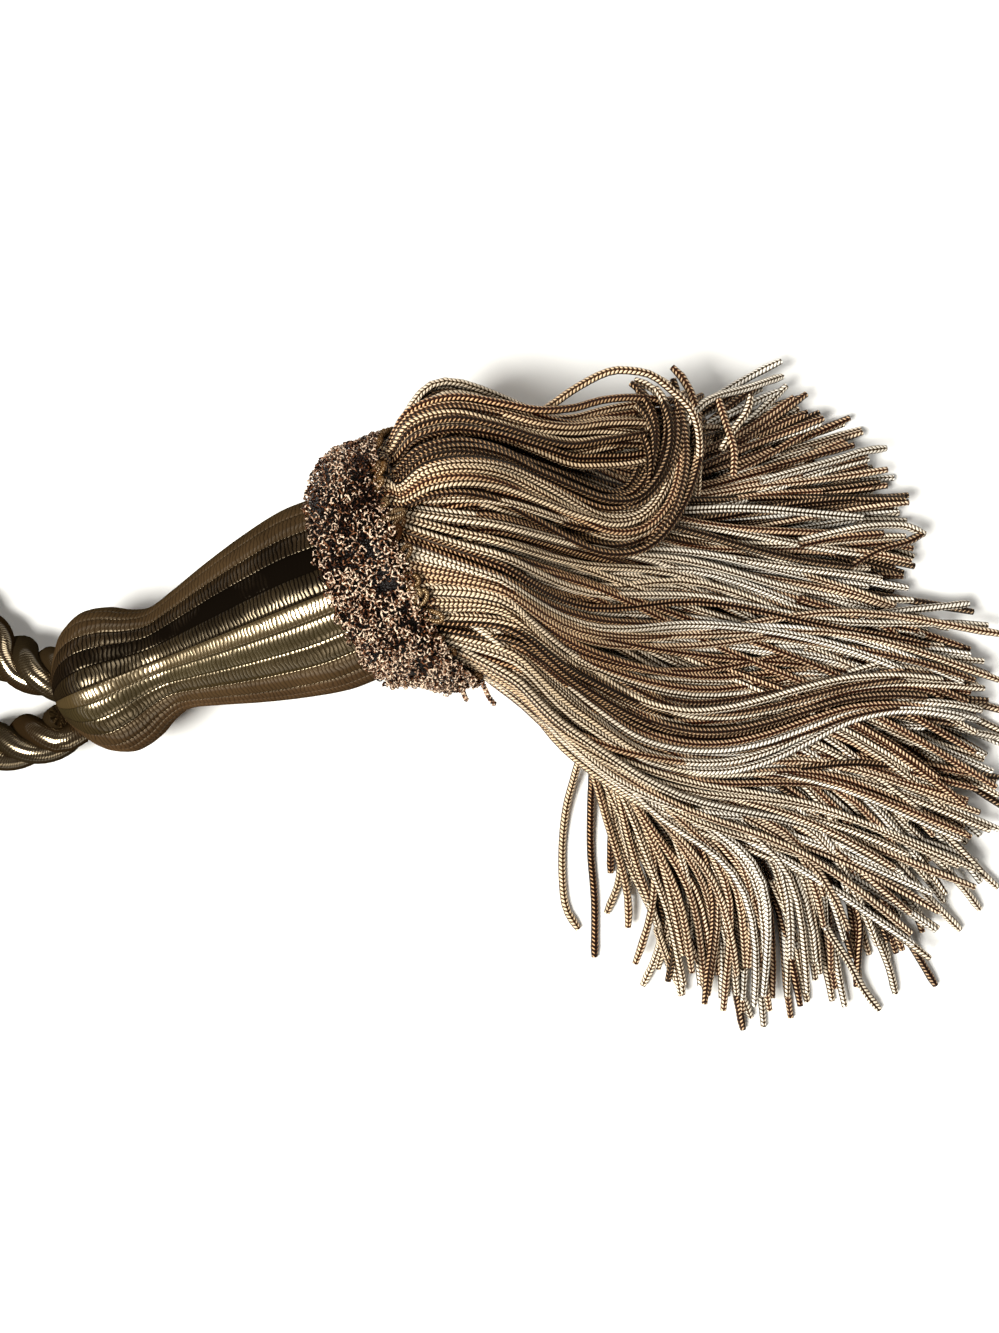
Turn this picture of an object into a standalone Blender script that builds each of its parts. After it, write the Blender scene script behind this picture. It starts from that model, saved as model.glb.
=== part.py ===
"""Curtain tieback tassel, lying on a flat surface.

A turned head under lengthways gimp cords, a looped ruff round its flare, a skirt of knitted
cords fixed on one ring, and a loop of three-ply rope from the head's tip.

The tassel lies on z = 0, with the head at -X and the skirt fanned out towards +X. The origin is
under the middle of the tassel, measured without its rope. Sizes and places are in millimetres
and become metres when a mesh is made.
"""

import math
import random
from typing import NamedTuple

import bmesh
import bpy
from mathutils import Vector

MM = 0.001
TURN = 2.0 * math.pi
UPRIGHT = Vector((0.0, 0.0, 1.0))

# The head lies on its bulb and, through the ruff, on its flare, so its axis rises to the skirt.
BULB_CENTRE = Vector((-105.0, 5.0, 16.6))
HEADING = math.radians(20.8)
TILT = math.radians(10.7)

# Distance along the axis from the bulb's centre, and radius over the gimp cords there.
HEAD_PROFILE = (
    (-11.0, 4.5),
    (-10.0, 8.8),
    (-7.2, 12.6),
    (-3.0, 16.4),
    (3.0, 18.0),
    (9.0, 16.8),
    (14.0, 14.3),
    (19.0, 13.1),
    (26.0, 14.8),
    (36.0, 17.8),
    (47.0, 20.6),
    (58.0, 22.6),
    (66.0, 22.4),
    (78.6, 22.0),
)
HEAD_TIP = -11.4
GIMP_CORDS = 26
GIMP_RIDGE = 0.8

# Section of the ruff: distance along the axis, radius between its loops, and how far a loop
# stands out there.
RUFF_SECTION = (
    (67.2, 24.0, 0.0),
    (68.0, 24.8, 1.3),
    (70.2, 26.2, 0.0),
    (72.6, 27.2, 1.9),
    (75.0, 28.6, 0.0),
    (77.4, 29.4, 1.9),
    (79.8, 30.4, 0.0),
    (82.2, 30.7, 1.9),
    (84.4, 30.9, 0.0),
    (86.2, 30.9, 1.7),
    (87.6, 30.4, 0.0),
    (88.2, 29.4, 0.0),
    (79.4, 29.2, 0.0),
    (79.4, 22.9, 0.0),
    (67.4, 22.9, 0.0),
)
RUFF_LOOPS = 34
RUFF_FOOT = 2.0

# The skirt's ring, and the cords that leave its front in nested rows.
RING_BACK = 80.0
RING_FRONT = 87.8
RING_RADIUS = 28.8
ROW_RADIUS = 27.0
ROW_STEP = 3.5
ROWS = 3
CORDS_A_ROW = 56
TIP_SHORTENING = 0.05

# Plan of the skirt: share across it, from its far edge (0) to its near edge (1), then x, y at
# each of five stations between the ring and the cords' tips.
PLAN_STATIONS = (0.2, 0.4, 0.6, 0.8, 1.0)
PLAN = (
    (0.000, (-23, 76), (2, 72), (26, 72), (44, 75), (62, 81)),
    (0.125, (-18, 66), (5, 62), (30, 59), (56, 60), (86, 64)),
    (0.250, (-14, 56), (8, 52), (35, 46), (65, 43), (102, 38)),
    (0.375, (-11, 46), (10, 42), (38, 33), (72, 24), (113, 10)),
    (0.500, (-9, 37), (12, 32), (39, 20), (75, 4), (117, -18)),
    (0.625, (-8, 28), (12, 22), (38, 8), (72, -15), (110, -47)),
    (0.750, (-6, 19), (13, 12), (35, -5), (61, -33), (90, -72)),
    (0.875, (-4, 11), (12, 3), (28, -16), (45, -45), (60, -81)),
    (1.000, (-4, 2), (8, -6), (19, -25), (25, -47), (29, -68)),
)


class Section(NamedTuple):
    """Section of the skirt at one station.

    The upper and lower halves are superellipses; a squareness of 2 is an ellipse. Rows lie inside
    one another, a row step apart in height and an edge step apart at the sides.
    """

    station: float
    half_width: float
    middle: float
    half_height: float
    upper_squareness: float
    lower_squareness: float
    row_step: float
    edge_step: float
    cord_width: float
    cord_thickness: float


SKIRT_SECTIONS = (
    Section(0.0, 27.0, 32.9, 26.5, 2.0, 2.0, 3.5, 3.5, 1.7, 1.7),
    Section(0.2, 37.0, 29.8, 28.6, 2.1, 2.8, 3.3, 4.4, 2.0, 1.6),
    Section(0.4, 40.0, 20.8, 19.6, 2.4, 4.0, 2.9, 4.5, 2.1, 1.5),
    Section(0.6, 52.0, 12.8, 11.7, 2.8, 5.0, 2.4, 4.4, 2.2, 1.4),
    Section(0.8, 80.0, 7.6, 6.6, 4.0, 7.0, 1.9, 4.2, 2.3, 1.3),
    Section(1.0, 121.0, 5.0, 4.2, 6.0, 9.0, 1.6, 4.2, 2.3, 1.2),
)
CORD_STATIONS = (0.0, 0.07, 0.17, 0.32, 0.52, 0.76, 1.0)
OUTLINE_SAMPLES = 360

# Each row further in has cords this much narrower. A cord starts with a side along its row and
# turns it level between these two stations, so that it rests flat on the surface.
INNER_WIDTH = 0.88
LEVEL_FROM = 0.3
LEVEL_TO = 0.8

# The lock that lies over the far side of the skirt and curls up at its end: x, y, z along its
# outer cord and along its inner cord. Every second cord lies a layer higher.
LOCK_OUTER = (
    (-19, 52, 60),
    (0, 50, 47),
    (17, 43, 39),
    (28, 46, 34),
    (34, 56, 31),
    (35, 67, 29),
    (32, 77, 27),
)
LOCK_INNER = (
    (-27, 74, 48),
    (-2, 69, 39),
    (14, 64, 34),
    (21, 61, 31),
    (25, 63, 29),
    (26, 68, 28),
    (22, 72, 27),
)
LOCK_FIRST = 3
LOCK_CORDS = 8
LOCK_LAYER = 3.2

# The rope: its size over the three plies, the length in which a ply goes round once, and the
# route of its middle line, from the far hole in the head's tip round and back to the near one.
ROPE_DIAMETER = 13.0
ROPE_LAY = 31.0
ROPE_STEP = 3.0
ROPE_ROUTE = (
    (-119.1, 8.1, 13.6),
    (-121.8, 9.0, 11.8),
    (-126.0, 10.4, 8.6),
    (-131.5, 13.0, 6.8),
    (-140.0, 21.0, 6.7),
    (-152.0, 31.5, 6.7),
    (-171.0, 40.0, 6.7),
    (-200.0, 45.5, 6.7),
    (-235.0, 47.0, 6.7),
    (-272.0, 45.5, 6.7),
    (-310.0, 43.0, 6.7),
    (-345.0, 38.0, 6.7),
    (-370.0, 26.0, 6.7),
    (-380.0, 7.0, 6.7),
    (-371.0, -12.0, 6.7),
    (-346.0, -23.5, 6.7),
    (-310.0, -27.0, 6.7),
    (-272.0, -26.0, 6.7),
    (-235.0, -23.5, 6.7),
    (-200.0, -21.0, 6.7),
    (-172.0, -18.0, 6.7),
    (-152.0, -14.5, 6.7),
    (-138.0, -11.2, 6.8),
    (-128.0, -9.4, 8.2),
    (-121.4, -8.0, 11.2),
    (-114.4, -6.2, 14.4),
)

FLOOR = 0.0


def remove_everything():
    """Empty the scene."""
    for item in list(bpy.data.objects):
        bpy.data.objects.remove(item, do_unlink=True)


def yarn_material(name, colour, roughness):
    """A Principled material for one kind of yarn."""
    material = bpy.data.materials.new(name)
    material.use_nodes = True
    shader = material.node_tree.nodes["Principled BSDF"]
    shader.inputs["Base Color"].default_value = (*colour, 1.0)
    shader.inputs["Roughness"].default_value = roughness
    shader.inputs["Metallic"].default_value = 0.0
    return material


def add_piece(name, points, faces, material):
    """Make one closed mesh object from points in millimetres."""
    mesh = bpy.data.meshes.new(name)
    mesh.from_pydata([point * MM for point in points], [], faces)
    work = bmesh.new()
    work.from_mesh(mesh)
    bmesh.ops.recalc_face_normals(work, faces=work.faces)
    work.to_mesh(mesh)
    work.free()
    mesh.materials.append(material)
    piece = bpy.data.objects.new(name, mesh)
    bpy.context.collection.objects.link(piece)
    return piece


def blend(start, end, share):
    """The value that lies a share of the way from start to end."""
    return start + (end - start) * share


def between_rows(keys, rows, key):
    """Read a smooth curve through rows of numbers or vectors at a key between theirs."""
    last = len(keys) - 1
    slot = max(index for index in range(last) if index == 0 or keys[index] <= key)
    span = keys[slot + 1] - keys[slot]
    share = (key - keys[slot]) / span

    def slope(index):
        before = max(index - 1, 0)
        after = min(index + 1, last)
        return (rows[after] - rows[before]) / (keys[after] - keys[before])

    cube = share * share * (3.0 - 2.0 * share)
    rise = share * (1.0 - share) ** 2
    fall = share * share * (share - 1.0)
    middle = blend(rows[slot], rows[slot + 1], cube)
    return middle + (slope(slot) * rise + slope(slot + 1) * fall) * span


def axis_frame():
    """The head's axis, its level cross direction and its upward direction."""
    level = Vector((math.cos(HEADING), math.sin(HEADING), 0.0))
    across = Vector((-math.sin(HEADING), math.cos(HEADING), 0.0))
    along = level * math.cos(TILT) + Vector((0.0, 0.0, math.sin(TILT)))
    return along, across, along.cross(across)


def on_axis(distance, radius, angle):
    """A point at a radius and an angle round the head's axis; angle 0 faces the far side."""
    along, across, upward = axis_frame()
    side = across * math.cos(angle) + upward * math.sin(angle)
    return BULB_CENTRE + along * distance + side * radius


def laid(point):
    """Flatten what would sink into the surface."""
    return Vector((point.x, point.y, max(point.z, FLOOR)))


def bridge(first, second, count):
    """Faces between two closed loops of the same count, given the index of each loop's start."""
    faces = []
    for index in range(count):
        after = (index + 1) % count
        faces.append((first + index, first + after, second + after, second + index))
    return faces


def fan(loop, count, hub):
    """Triangles from a closed loop to a hub point."""
    return [(loop + index, loop + (index + 1) % count, hub) for index in range(count)]


def build_head(material):
    """The turned head, with a ridge for each gimp cord."""
    count = 2 * GIMP_CORDS
    points = []
    faces = []
    for row, (distance, radius) in enumerate(HEAD_PROFILE):
        for index in range(count):
            groove = (index % 2) * GIMP_RIDGE * radius / HEAD_PROFILE[-1][1]
            points.append(laid(on_axis(distance, radius - groove, TURN * index / count)))
        if row:
            faces += bridge((row - 1) * count, row * count, count)
    points.append(on_axis(HEAD_TIP, 0.0, 0.0))
    faces += fan(0, count, len(points) - 1)
    points.append(on_axis(HEAD_PROFILE[-1][0], 0.0, 0.0))
    faces += fan((len(HEAD_PROFILE) - 1) * count, count, len(points) - 1)
    return add_piece("head", points, faces, material)


def build_ruff(material):
    """The ruff, a ring whose outside is raised in staggered loops, with a flat foot."""
    count = 2 * RUFF_LOOPS
    points = []
    faces = []
    for row, (distance, radius, loop) in enumerate(RUFF_SECTION):
        for index in range(count):
            raised = loop if (index + row // 2) % 2 else 0.0
            point = on_axis(distance, radius + raised, TURN * index / count)
            if point.z < RUFF_FOOT:
                point.z = FLOOR
            points.append(point)
        after = (row + 1) % len(RUFF_SECTION)
        faces += bridge(row * count, after * count, count)
    return add_piece("ruff", points, faces, material)


def skirt_section(station):
    """The skirt's section at any station between the ring (0) and the tips (1)."""
    keys = [section.station for section in SKIRT_SECTIONS]
    columns = zip(*SKIRT_SECTIONS)
    return Section(*[between_rows(keys, column, station) for column in columns])


def row_outline(row, station):
    """Points of one row's closed outline, with the length of outline up to each of them.

    The outline starts at the far side and goes over the top, down the near side and back
    along the bottom. Each point is its place across, from -1 to 1, and its height.
    """
    section = skirt_section(station)
    wide = section.half_width - row * section.edge_step
    high = section.half_height - row * section.row_step
    outline = []
    for index in range(OUTLINE_SAMPLES + 1):
        angle = math.pi - TURN * index / OUTLINE_SAMPLES
        cosine = math.cos(angle)
        sine = math.sin(angle)
        power = 2.0 / (section.upper_squareness if sine >= 0.0 else section.lower_squareness)
        across = math.copysign(abs(cosine) ** power, cosine)
        height = math.copysign(abs(sine) ** power, sine)
        outline.append((across * wide, section.middle + height * high))
    lengths = [0.0]
    for before, after in zip(outline, outline[1:]):
        lengths.append(lengths[-1] + math.dist(before, after))
    return [(across / section.half_width, height) for across, height in outline], lengths


def on_row(outline, lengths, share):
    """The place across and the height at a share of a row's outline."""
    target = (share % 1.0) * lengths[-1]
    slot = 0
    while lengths[slot + 1] < target:
        slot += 1
    part = (target - lengths[slot]) / max(lengths[slot + 1] - lengths[slot], 1e-9)
    before = outline[slot]
    after = outline[slot + 1]
    return blend(before[0], after[0], part), blend(before[1], after[1], part)


def on_plan(across, station):
    """The x and y of a place across the skirt, from -1 to 1, at a station along it."""
    ring = on_axis(RING_FRONT, 0.0, 0.0)
    side = axis_frame()[1]
    places = []
    for share, *route in PLAN:
        root = ring + side * ROW_RADIUS * (1.0 - 2.0 * share)
        line = [root.to_2d()] + [Vector(place) for place in route]
        places.append(between_rows((0.0, *PLAN_STATIONS), line, station))
    return between_rows([guide[0] for guide in PLAN], places, 0.5 * (across + 1.0))


class SkirtFlow:
    """Places of the skirt's cords, read from its plan and its section at each station."""

    def __init__(self):
        self.outlines = {}

    def point(self, row, share, station):
        """The middle of a cord of a row at a share of its outline and a station."""
        if (row, station) not in self.outlines:
            self.outlines[(row, station)] = row_outline(row, station)
        across, height = on_row(*self.outlines[(row, station)], share)
        rise = height - skirt_section(station).middle
        lean = max(0.0, 1.0 - station / PLAN_STATIONS[0]) * math.tan(TILT) * rise
        heading = Vector((math.cos(HEADING), math.sin(HEADING)))
        plan = on_plan(across, station) - heading * lean
        return Vector((plan.x, plan.y, height))

    def around(self, row, share, station):
        """The direction in which a row goes round at a cord."""
        nudge = 0.1 / CORDS_A_ROW
        before = self.point(row, share - nudge, station)
        after = self.point(row, share + nudge, station)
        return (after - before).normalized()


def share_of(row, column):
    """A cord's share of its row's outline; the rows are staggered by a third of a step."""
    return (column + 0.5 + (row - 1) / 3.0) / CORDS_A_ROW


def runs_along(centres):
    """The direction of a line of points at each of them."""
    before = [centres[0], *centres[:-1]]
    after = [*centres[1:], centres[-1]]
    return [(end - start).normalized() for start, end in zip(before, after)]


def level_side(run, before):
    """The level direction across a cord, the way that turns it least from its side before."""
    side = run.cross(UPRIGHT).normalized()
    return side if side.dot(before) > 0.0 else -side


def row_cord(flow, row, share, root, tip):
    """Middle line, sides and stations of a cord that stays in its row."""
    stations = [*CORD_STATIONS[:-1], tip]
    centres = [root] + [flow.point(row, share, station) for station in stations[1:]]
    sides = [flow.around(row, share, stations[0])]
    for run, station in zip(runs_along(centres)[1:], stations[1:]):
        level = min(max((station - LEVEL_FROM) / (LEVEL_TO - LEVEL_FROM), 0.0), 1.0)
        side = flow.around(row, share, station)
        sides.append(side.lerp(level_side(run, sides[-1]), level))
    return centres, sides, stations


def lock_cord(place, root, tip):
    """Middle line, sides and stations of a cord of the curled lock, counted from its inner one."""
    share = 1.0 - place / (LOCK_CORDS - 1)
    lift = UPRIGHT * LOCK_LAYER * (place % 2)
    path = []
    for outer, inner in zip(LOCK_OUTER, LOCK_INNER):
        path.append(Vector(outer).lerp(Vector(inner), share) + lift)
    path[-1] = path[-2].lerp(path[-1], tip)
    centres = [root, *path]
    sides = [run.cross(UPRIGHT) for run in runs_along(centres)]
    return centres, sides, [0.0] * len(centres)


def cord_corners(centre, run, side, width, thickness):
    """Four corners of a cord's section, square to its run."""
    side = (side - run * side.dot(run)).normalized()
    inward = run.cross(side)
    corners = []
    for across, depth in ((-0.5, -0.5), (0.5, -0.5), (0.5, 0.5), (-0.5, 0.5)):
        corners.append(centre + side * across * width + inward * depth * thickness)
    return corners


def cord_sections(flow, row, column, rng):
    """Corners of each section along one cord, the first of them in the ring's front face."""
    share = share_of(row, column)
    angle = TURN * share
    root = on_axis(RING_FRONT, ROW_RADIUS - row * ROW_STEP, angle)
    draw = rng.random()
    if row == 0 and LOCK_FIRST <= column < LOCK_FIRST + LOCK_CORDS:
        centres, sides, stations = lock_cord(column - LOCK_FIRST, root, 0.3 + 0.7 * draw)
    else:
        centres, sides, stations = row_cord(flow, row, share, root, 1.0 - TIP_SHORTENING * draw)
    runs = runs_along(centres)
    runs[0] = axis_frame()[0]
    sides[0] = on_axis(0.0, 1.0, angle + 0.25 * TURN) - BULB_CENTRE
    sections = []
    for centre, run, side, station in zip(centres, runs, sides, stations):
        section = skirt_section(station)
        width = section.cord_width * INNER_WIDTH**row
        sections.append(cord_corners(centre, run, side, width, section.cord_thickness))
    return sections


def ring_corners(row, column):
    """Indices of the four points of the ring's front face that belong to one cord."""
    corners = []
    for edge, step in ((row, 0), (row, 1), (row + 1, 1), (row + 1, 0)):
        corners.append(edge * CORDS_A_ROW + (column + step) % CORDS_A_ROW)
    return corners


def ring_points(edge, distance, radius):
    """Points round the ring, midway between the cords of the rows on either side of an edge."""
    points = []
    for column in range(CORDS_A_ROW):
        share = share_of(edge - 0.5, column - 0.5)
        points.append(on_axis(distance, radius, TURN * share))
    return points


def build_skirt(material):
    """The skirt: one ring with every cord drawn out of its front face."""
    rng = random.Random(7)
    flow = SkirtFlow()
    points = []
    faces = []
    for edge in range(ROWS + 1):
        points += ring_points(edge, RING_FRONT, ROW_RADIUS - (edge - 0.5) * ROW_STEP)
    points.append(on_axis(RING_FRONT, 0.0, 0.0))
    faces += fan(ROWS * CORDS_A_ROW, CORDS_A_ROW, len(points) - 1)
    back = len(points)
    points += ring_points(0, RING_BACK, RING_RADIUS)
    faces += bridge(0, back, CORDS_A_ROW)
    points.append(on_axis(RING_BACK, 0.0, 0.0))
    faces += fan(back, CORDS_A_ROW, len(points) - 1)

    for row in range(ROWS):
        for column in range(CORDS_A_ROW):
            sections = cord_sections(flow, row, column, rng)
            ring = ring_corners(row, column)
            start = len(points)
            points += [corner for section in sections for corner in section]
            for side in range(4):
                after = (side + 1) % 4
                faces.append((ring[side], ring[after], start + after, start + side))
            for section in range(1, len(sections)):
                faces += bridge(start + 4 * (section - 1), start + 4 * section, 4)
            last = start + 4 * (len(sections) - 1)
            faces.append((last, last + 1, last + 2, last + 3))
    return add_piece("skirt", points, faces, material)


def rope_line():
    """Points of the rope's middle line at even steps, on a smooth curve through its route."""
    route = [Vector(place) for place in ROPE_ROUTE]
    keys = [0.0]
    for before, after in zip(route, route[1:]):
        keys.append(keys[-1] + (after - before).length)
    steps = round(keys[-1] / ROPE_STEP)
    return [between_rows(keys, route, keys[-1] * index / steps) for index in range(steps + 1)]


def ply_outline():
    """Section of the rope: three points on each of its three plies."""
    ply_radius = ROPE_DIAMETER / (2.0 + 4.0 / math.sqrt(3.0))
    ply_centre = ROPE_DIAMETER / 2.0 - ply_radius
    outline = []
    for ply in range(3):
        for turn in (-62.0, 0.0, 62.0):
            middle = TURN * ply / 3.0
            bend = middle + math.radians(turn)
            outline.append(
                Vector((math.cos(middle), math.sin(middle))) * ply_centre
                + Vector((math.cos(bend), math.sin(bend))) * ply_radius
            )
    return outline


def build_rope(material):
    """The rope loop, its plies twisted round its middle line."""
    line = rope_line()
    runs = runs_along(line)
    outline = ply_outline()
    points = []
    faces = []
    travelled = 0.0
    for index, centre in enumerate(line):
        run = runs[index]
        side = UPRIGHT.cross(run).normalized()
        upward = run.cross(side)
        if index:
            travelled += (centre - line[index - 1]).length
        twist = TURN * travelled / ROPE_LAY
        for place in outline:
            across = place.x * math.cos(twist) - place.y * math.sin(twist)
            height = place.x * math.sin(twist) + place.y * math.cos(twist)
            points.append(centre + side * across + upward * height)
        if index:
            faces += bridge((index - 1) * len(outline), index * len(outline), len(outline))
    for end in (0, len(line) - 1):
        points.append(line[end].copy())
        faces += fan(end * len(outline), len(outline), len(points) - 1)
    return add_piece("rope_loop", points, faces, material)


def main():
    """Build the tassel."""
    remove_everything()
    build_rope(yarn_material("satin_rope", (0.30, 0.23, 0.12), 0.38))
    build_head(yarn_material("satin_gimp", (0.32, 0.25, 0.14), 0.35))
    build_ruff(yarn_material("looped_gimp", (0.36, 0.22, 0.13), 0.55))
    build_skirt(yarn_material("knitted_cord", (0.56, 0.45, 0.30), 0.50))


main()
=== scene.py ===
"""Looks of a curtain tieback tassel that lies on a pale surface.

The head is covered with satin-wound gimp cords, the ruff with looped crinkle gimp, and the skirt
is made of several hundred knitted cords. A three-ply satin rope leaves the head's tip.

Places are in millimetres in the part's own frame and become metres when a mesh is made, except
the rope's and the studio's, which are in metres.
"""

import logging
import math
import random
from dataclasses import dataclass, field
from enum import Enum
from functools import partial
from typing import Any, Callable, Sequence

import bpy
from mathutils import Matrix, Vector, noise


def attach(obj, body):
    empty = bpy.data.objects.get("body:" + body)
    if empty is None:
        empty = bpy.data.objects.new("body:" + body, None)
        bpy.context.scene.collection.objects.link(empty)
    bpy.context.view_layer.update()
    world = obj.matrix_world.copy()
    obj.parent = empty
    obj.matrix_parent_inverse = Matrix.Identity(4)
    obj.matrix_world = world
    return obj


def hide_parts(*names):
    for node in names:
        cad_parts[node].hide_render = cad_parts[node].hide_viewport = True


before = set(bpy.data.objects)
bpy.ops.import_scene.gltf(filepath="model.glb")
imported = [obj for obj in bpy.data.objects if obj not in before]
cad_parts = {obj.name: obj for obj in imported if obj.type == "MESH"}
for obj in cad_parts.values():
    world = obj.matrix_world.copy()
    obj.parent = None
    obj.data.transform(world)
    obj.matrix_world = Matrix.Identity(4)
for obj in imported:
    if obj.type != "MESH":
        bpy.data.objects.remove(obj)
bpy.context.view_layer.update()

Node = bpy.types.Node
Tree = bpy.types.NodeTree
Material = bpy.types.Material
Piece = bpy.types.Object
Place = tuple[float, float, float]
Stops = tuple[tuple[float, str], ...]
Settings = dict[Any, Any]
Links = dict[Any, Any]
Adder = Callable[..., Node]

LOG = logging.getLogger("tassel")
MM = 0.001
TURN = 2.0 * math.pi
UPRIGHT = Vector((0.0, 0.0, 1.0))

# kinds of node
ATTRIBUTE = "ShaderNodeAttribute"
BUMP = "ShaderNodeBump"
MATH = "ShaderNodeMath"
MIX = "ShaderNodeMix"
NOISE = "ShaderNodeTexNoise"
RAMP = "ShaderNodeValToRGB"
RANGE = "ShaderNodeMapRange"
NAMED = "GeometryNodeInputNamedAttribute"

# settings that many nodes share
COLOURS = {"data_type": "RGBA"}
OVER = {"operation": "DIVIDE"}
PLUS = {"operation": "ADD"}
SMOOTH = {"interpolation_type": "SMOOTHSTEP"}
TIMES = {"operation": "MULTIPLY"}
TIMES_PLUS = {"operation": "MULTIPLY_ADD"}


class Body(Enum):
    """Bodies of the part that a piece can ride on."""

    ROOT = "root"


class Slot(Enum):
    """Material slots of the record."""

    ROPE = "satin_rope"
    GIMP = "satin_gimp"
    RUFF = "looped_gimp"
    CORD = "knitted_cord"


# ---------------------------------------------------------------- small tools


def linear(code: str) -> tuple[float, ...]:
    """Turn an sRGB hex colour to linear RGBA.

    Args:
        code: The colour as "#rrggbb".

    Returns:
        Linear red, green, blue and an alpha of one.
    """
    parts = [int(code[index : index + 2], 16) / 255.0 for index in (1, 3, 5)]
    return (*(part / 12.92 if part <= 0.04045 else ((part + 0.055) / 1.055) ** 2.4 for part in parts), 1.0)


def set_up(node: Node, settings: Settings | None = None, links: Links | None = None) -> Node:
    """Give a node its settings and links.

    Args:
        node: The node.
        settings: Properties by name, input values by socket name or number, and a ramp's "stops".
        links: What feeds each input: a socket, or a node that gives its first output.

    Returns:
        The same node.
    """
    for key, value in (settings or {}).items():
        if key == "stops":
            elements = node.color_ramp.elements
            for index, (position, code) in enumerate(value):
                element = elements[index] if index < 2 else elements.new(position)
                element.position = position
                element.color = linear(code)
        elif isinstance(key, str) and hasattr(node, key):
            setattr(node, key, value)
        else:
            node.inputs[key].default_value = value
    for key, source in (links or {}).items():
        socket = source.outputs[0] if isinstance(source, Node) else source
        node.id_data.links.new(socket, node.inputs[key])
    return node


def add_node(tree: Tree, kind: str, settings: Settings | None = None, links: Links | None = None) -> Node:
    """Add one node of a kind with its settings and links, as set_up takes them."""
    return set_up(tree.nodes.new(kind), settings, links)


def new_tree(name: str, inputs: dict[str, str]) -> tuple[Tree, Adder, Node]:
    """Start a geometry node tree.

    Args:
        name: The tree's name.
        inputs: The kind of each input beside the geometry, by its name.

    Returns:
        The tree, a function that adds a node to it, and its group input.
    """
    tree = bpy.data.node_groups.new(name, "GeometryNodeTree")
    for key, kind in {"Geometry": "Geometry", **inputs}.items():
        tree.interface.new_socket(key, in_out="INPUT", socket_type=f"NodeSocket{kind}")
    tree.interface.new_socket("Geometry", in_out="OUTPUT", socket_type="NodeSocketGeometry")
    add = partial(add_node, tree)
    return tree, add, add("NodeGroupInput")


def end_tree(add: Adder, shape: Node, material: Material) -> None:
    """End a geometry node tree.

    Args:
        add: Adds a node to the tree.
        shape: The node that gives the shape.
        material: What the shape is dressed in.
    """
    real = add("GeometryNodeRealizeInstances", None, {0: shape})
    dressed = add("GeometryNodeSetMaterial", {"Material": material}, {0: real})
    add("NodeGroupOutput", None, {0: dressed})


def clamped(value: float, least: float = 0.0, most: float = 1.0) -> float:
    """A value that is kept between two limits."""
    return min(most, max(least, value))


def blend(start: Any, end: Any, share: float) -> Any:
    """The value that lies a share of the way from start to end."""
    return start + (end - start) * share


def between_rows(keys: Sequence[float], rows: Sequence[Any], key: float) -> Any:
    """Read a smooth curve through rows of numbers or vectors.

    Args:
        keys: The key of each row, rising.
        rows: Numbers or vectors.
        key: Where to read the curve.

    Returns:
        A number or vector.
    """
    last = len(keys) - 1
    slot = max(index for index in range(last) if index == 0 or keys[index] <= key)
    span = keys[slot + 1] - keys[slot]
    share = (key - keys[slot]) / span

    def slope(index: int) -> Any:
        """Slope of the curve at a row."""
        before = max(index - 1, 0)
        after = min(index + 1, last)
        return (rows[after] - rows[before]) / (keys[after] - keys[before])

    cube = share * share * (3.0 - 2.0 * share)
    rise = share * (1.0 - share) ** 2
    fall = share * share * (share - 1.0)
    middle = blend(rows[slot], rows[slot + 1], cube)
    return middle + (slope(slot) * rise + slope(slot + 1) * fall) * span


def steps_of(line: Sequence[Vector]) -> list[float]:
    """The distances between neighbours on a line of points."""
    return [(after - before).length for before, after in zip(line, line[1:])]


def even_line(route: Sequence[Any], step: float) -> list[Vector]:
    """Points at about even steps on a smooth curve through a route.

    Args:
        route: Places that the curve goes through.
        step: Wished distance between points.

    Returns:
        The curve's points, from the route's first to its last.
    """
    places = [Vector(place) for place in route]
    keys = [0.0]
    for length in steps_of(places):
        keys.append(keys[-1] + length)
    count = max(2, round(keys[-1] / step))
    return [between_rows(keys, places, keys[-1] * index / count) for index in range(count + 1)]


def runs_along(line: Sequence[Vector]) -> list[Vector]:
    """The direction of a line of points at each of them."""
    before = [line[0], *line[:-1]]
    after = [*line[1:], line[-1]]
    return [(end - start).normalized() for start, end in zip(before, after)]


def add_piece(
    name: str,
    points: Sequence[Any],
    edges: Sequence[Any] = (),
    faces: Sequence[Any] = (),
    values: dict[str, list[float]] | None = None,
) -> Piece:
    """Add an object with its own mesh to the scene.

    Args:
        name: Name of the object and its mesh.
        points: Places in metres.
        edges: Pairs of points.
        faces: Rings of points.
        values: The points' attributes by name, with one number a point, or three in a row.

    Returns:
        The object.
    """
    mesh = bpy.data.meshes.new(name)
    mesh.from_pydata(points, edges, faces)
    for key, numbers in (values or {}).items():
        single = len(numbers) == len(points)
        attribute = mesh.attributes.new(key, "FLOAT" if single else "FLOAT_VECTOR", "POINT")
        attribute.data.foreach_set("value" if single else "vector", numbers)
    piece = bpy.data.objects.new(name, mesh)
    bpy.context.scene.collection.objects.link(piece)
    return piece


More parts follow.
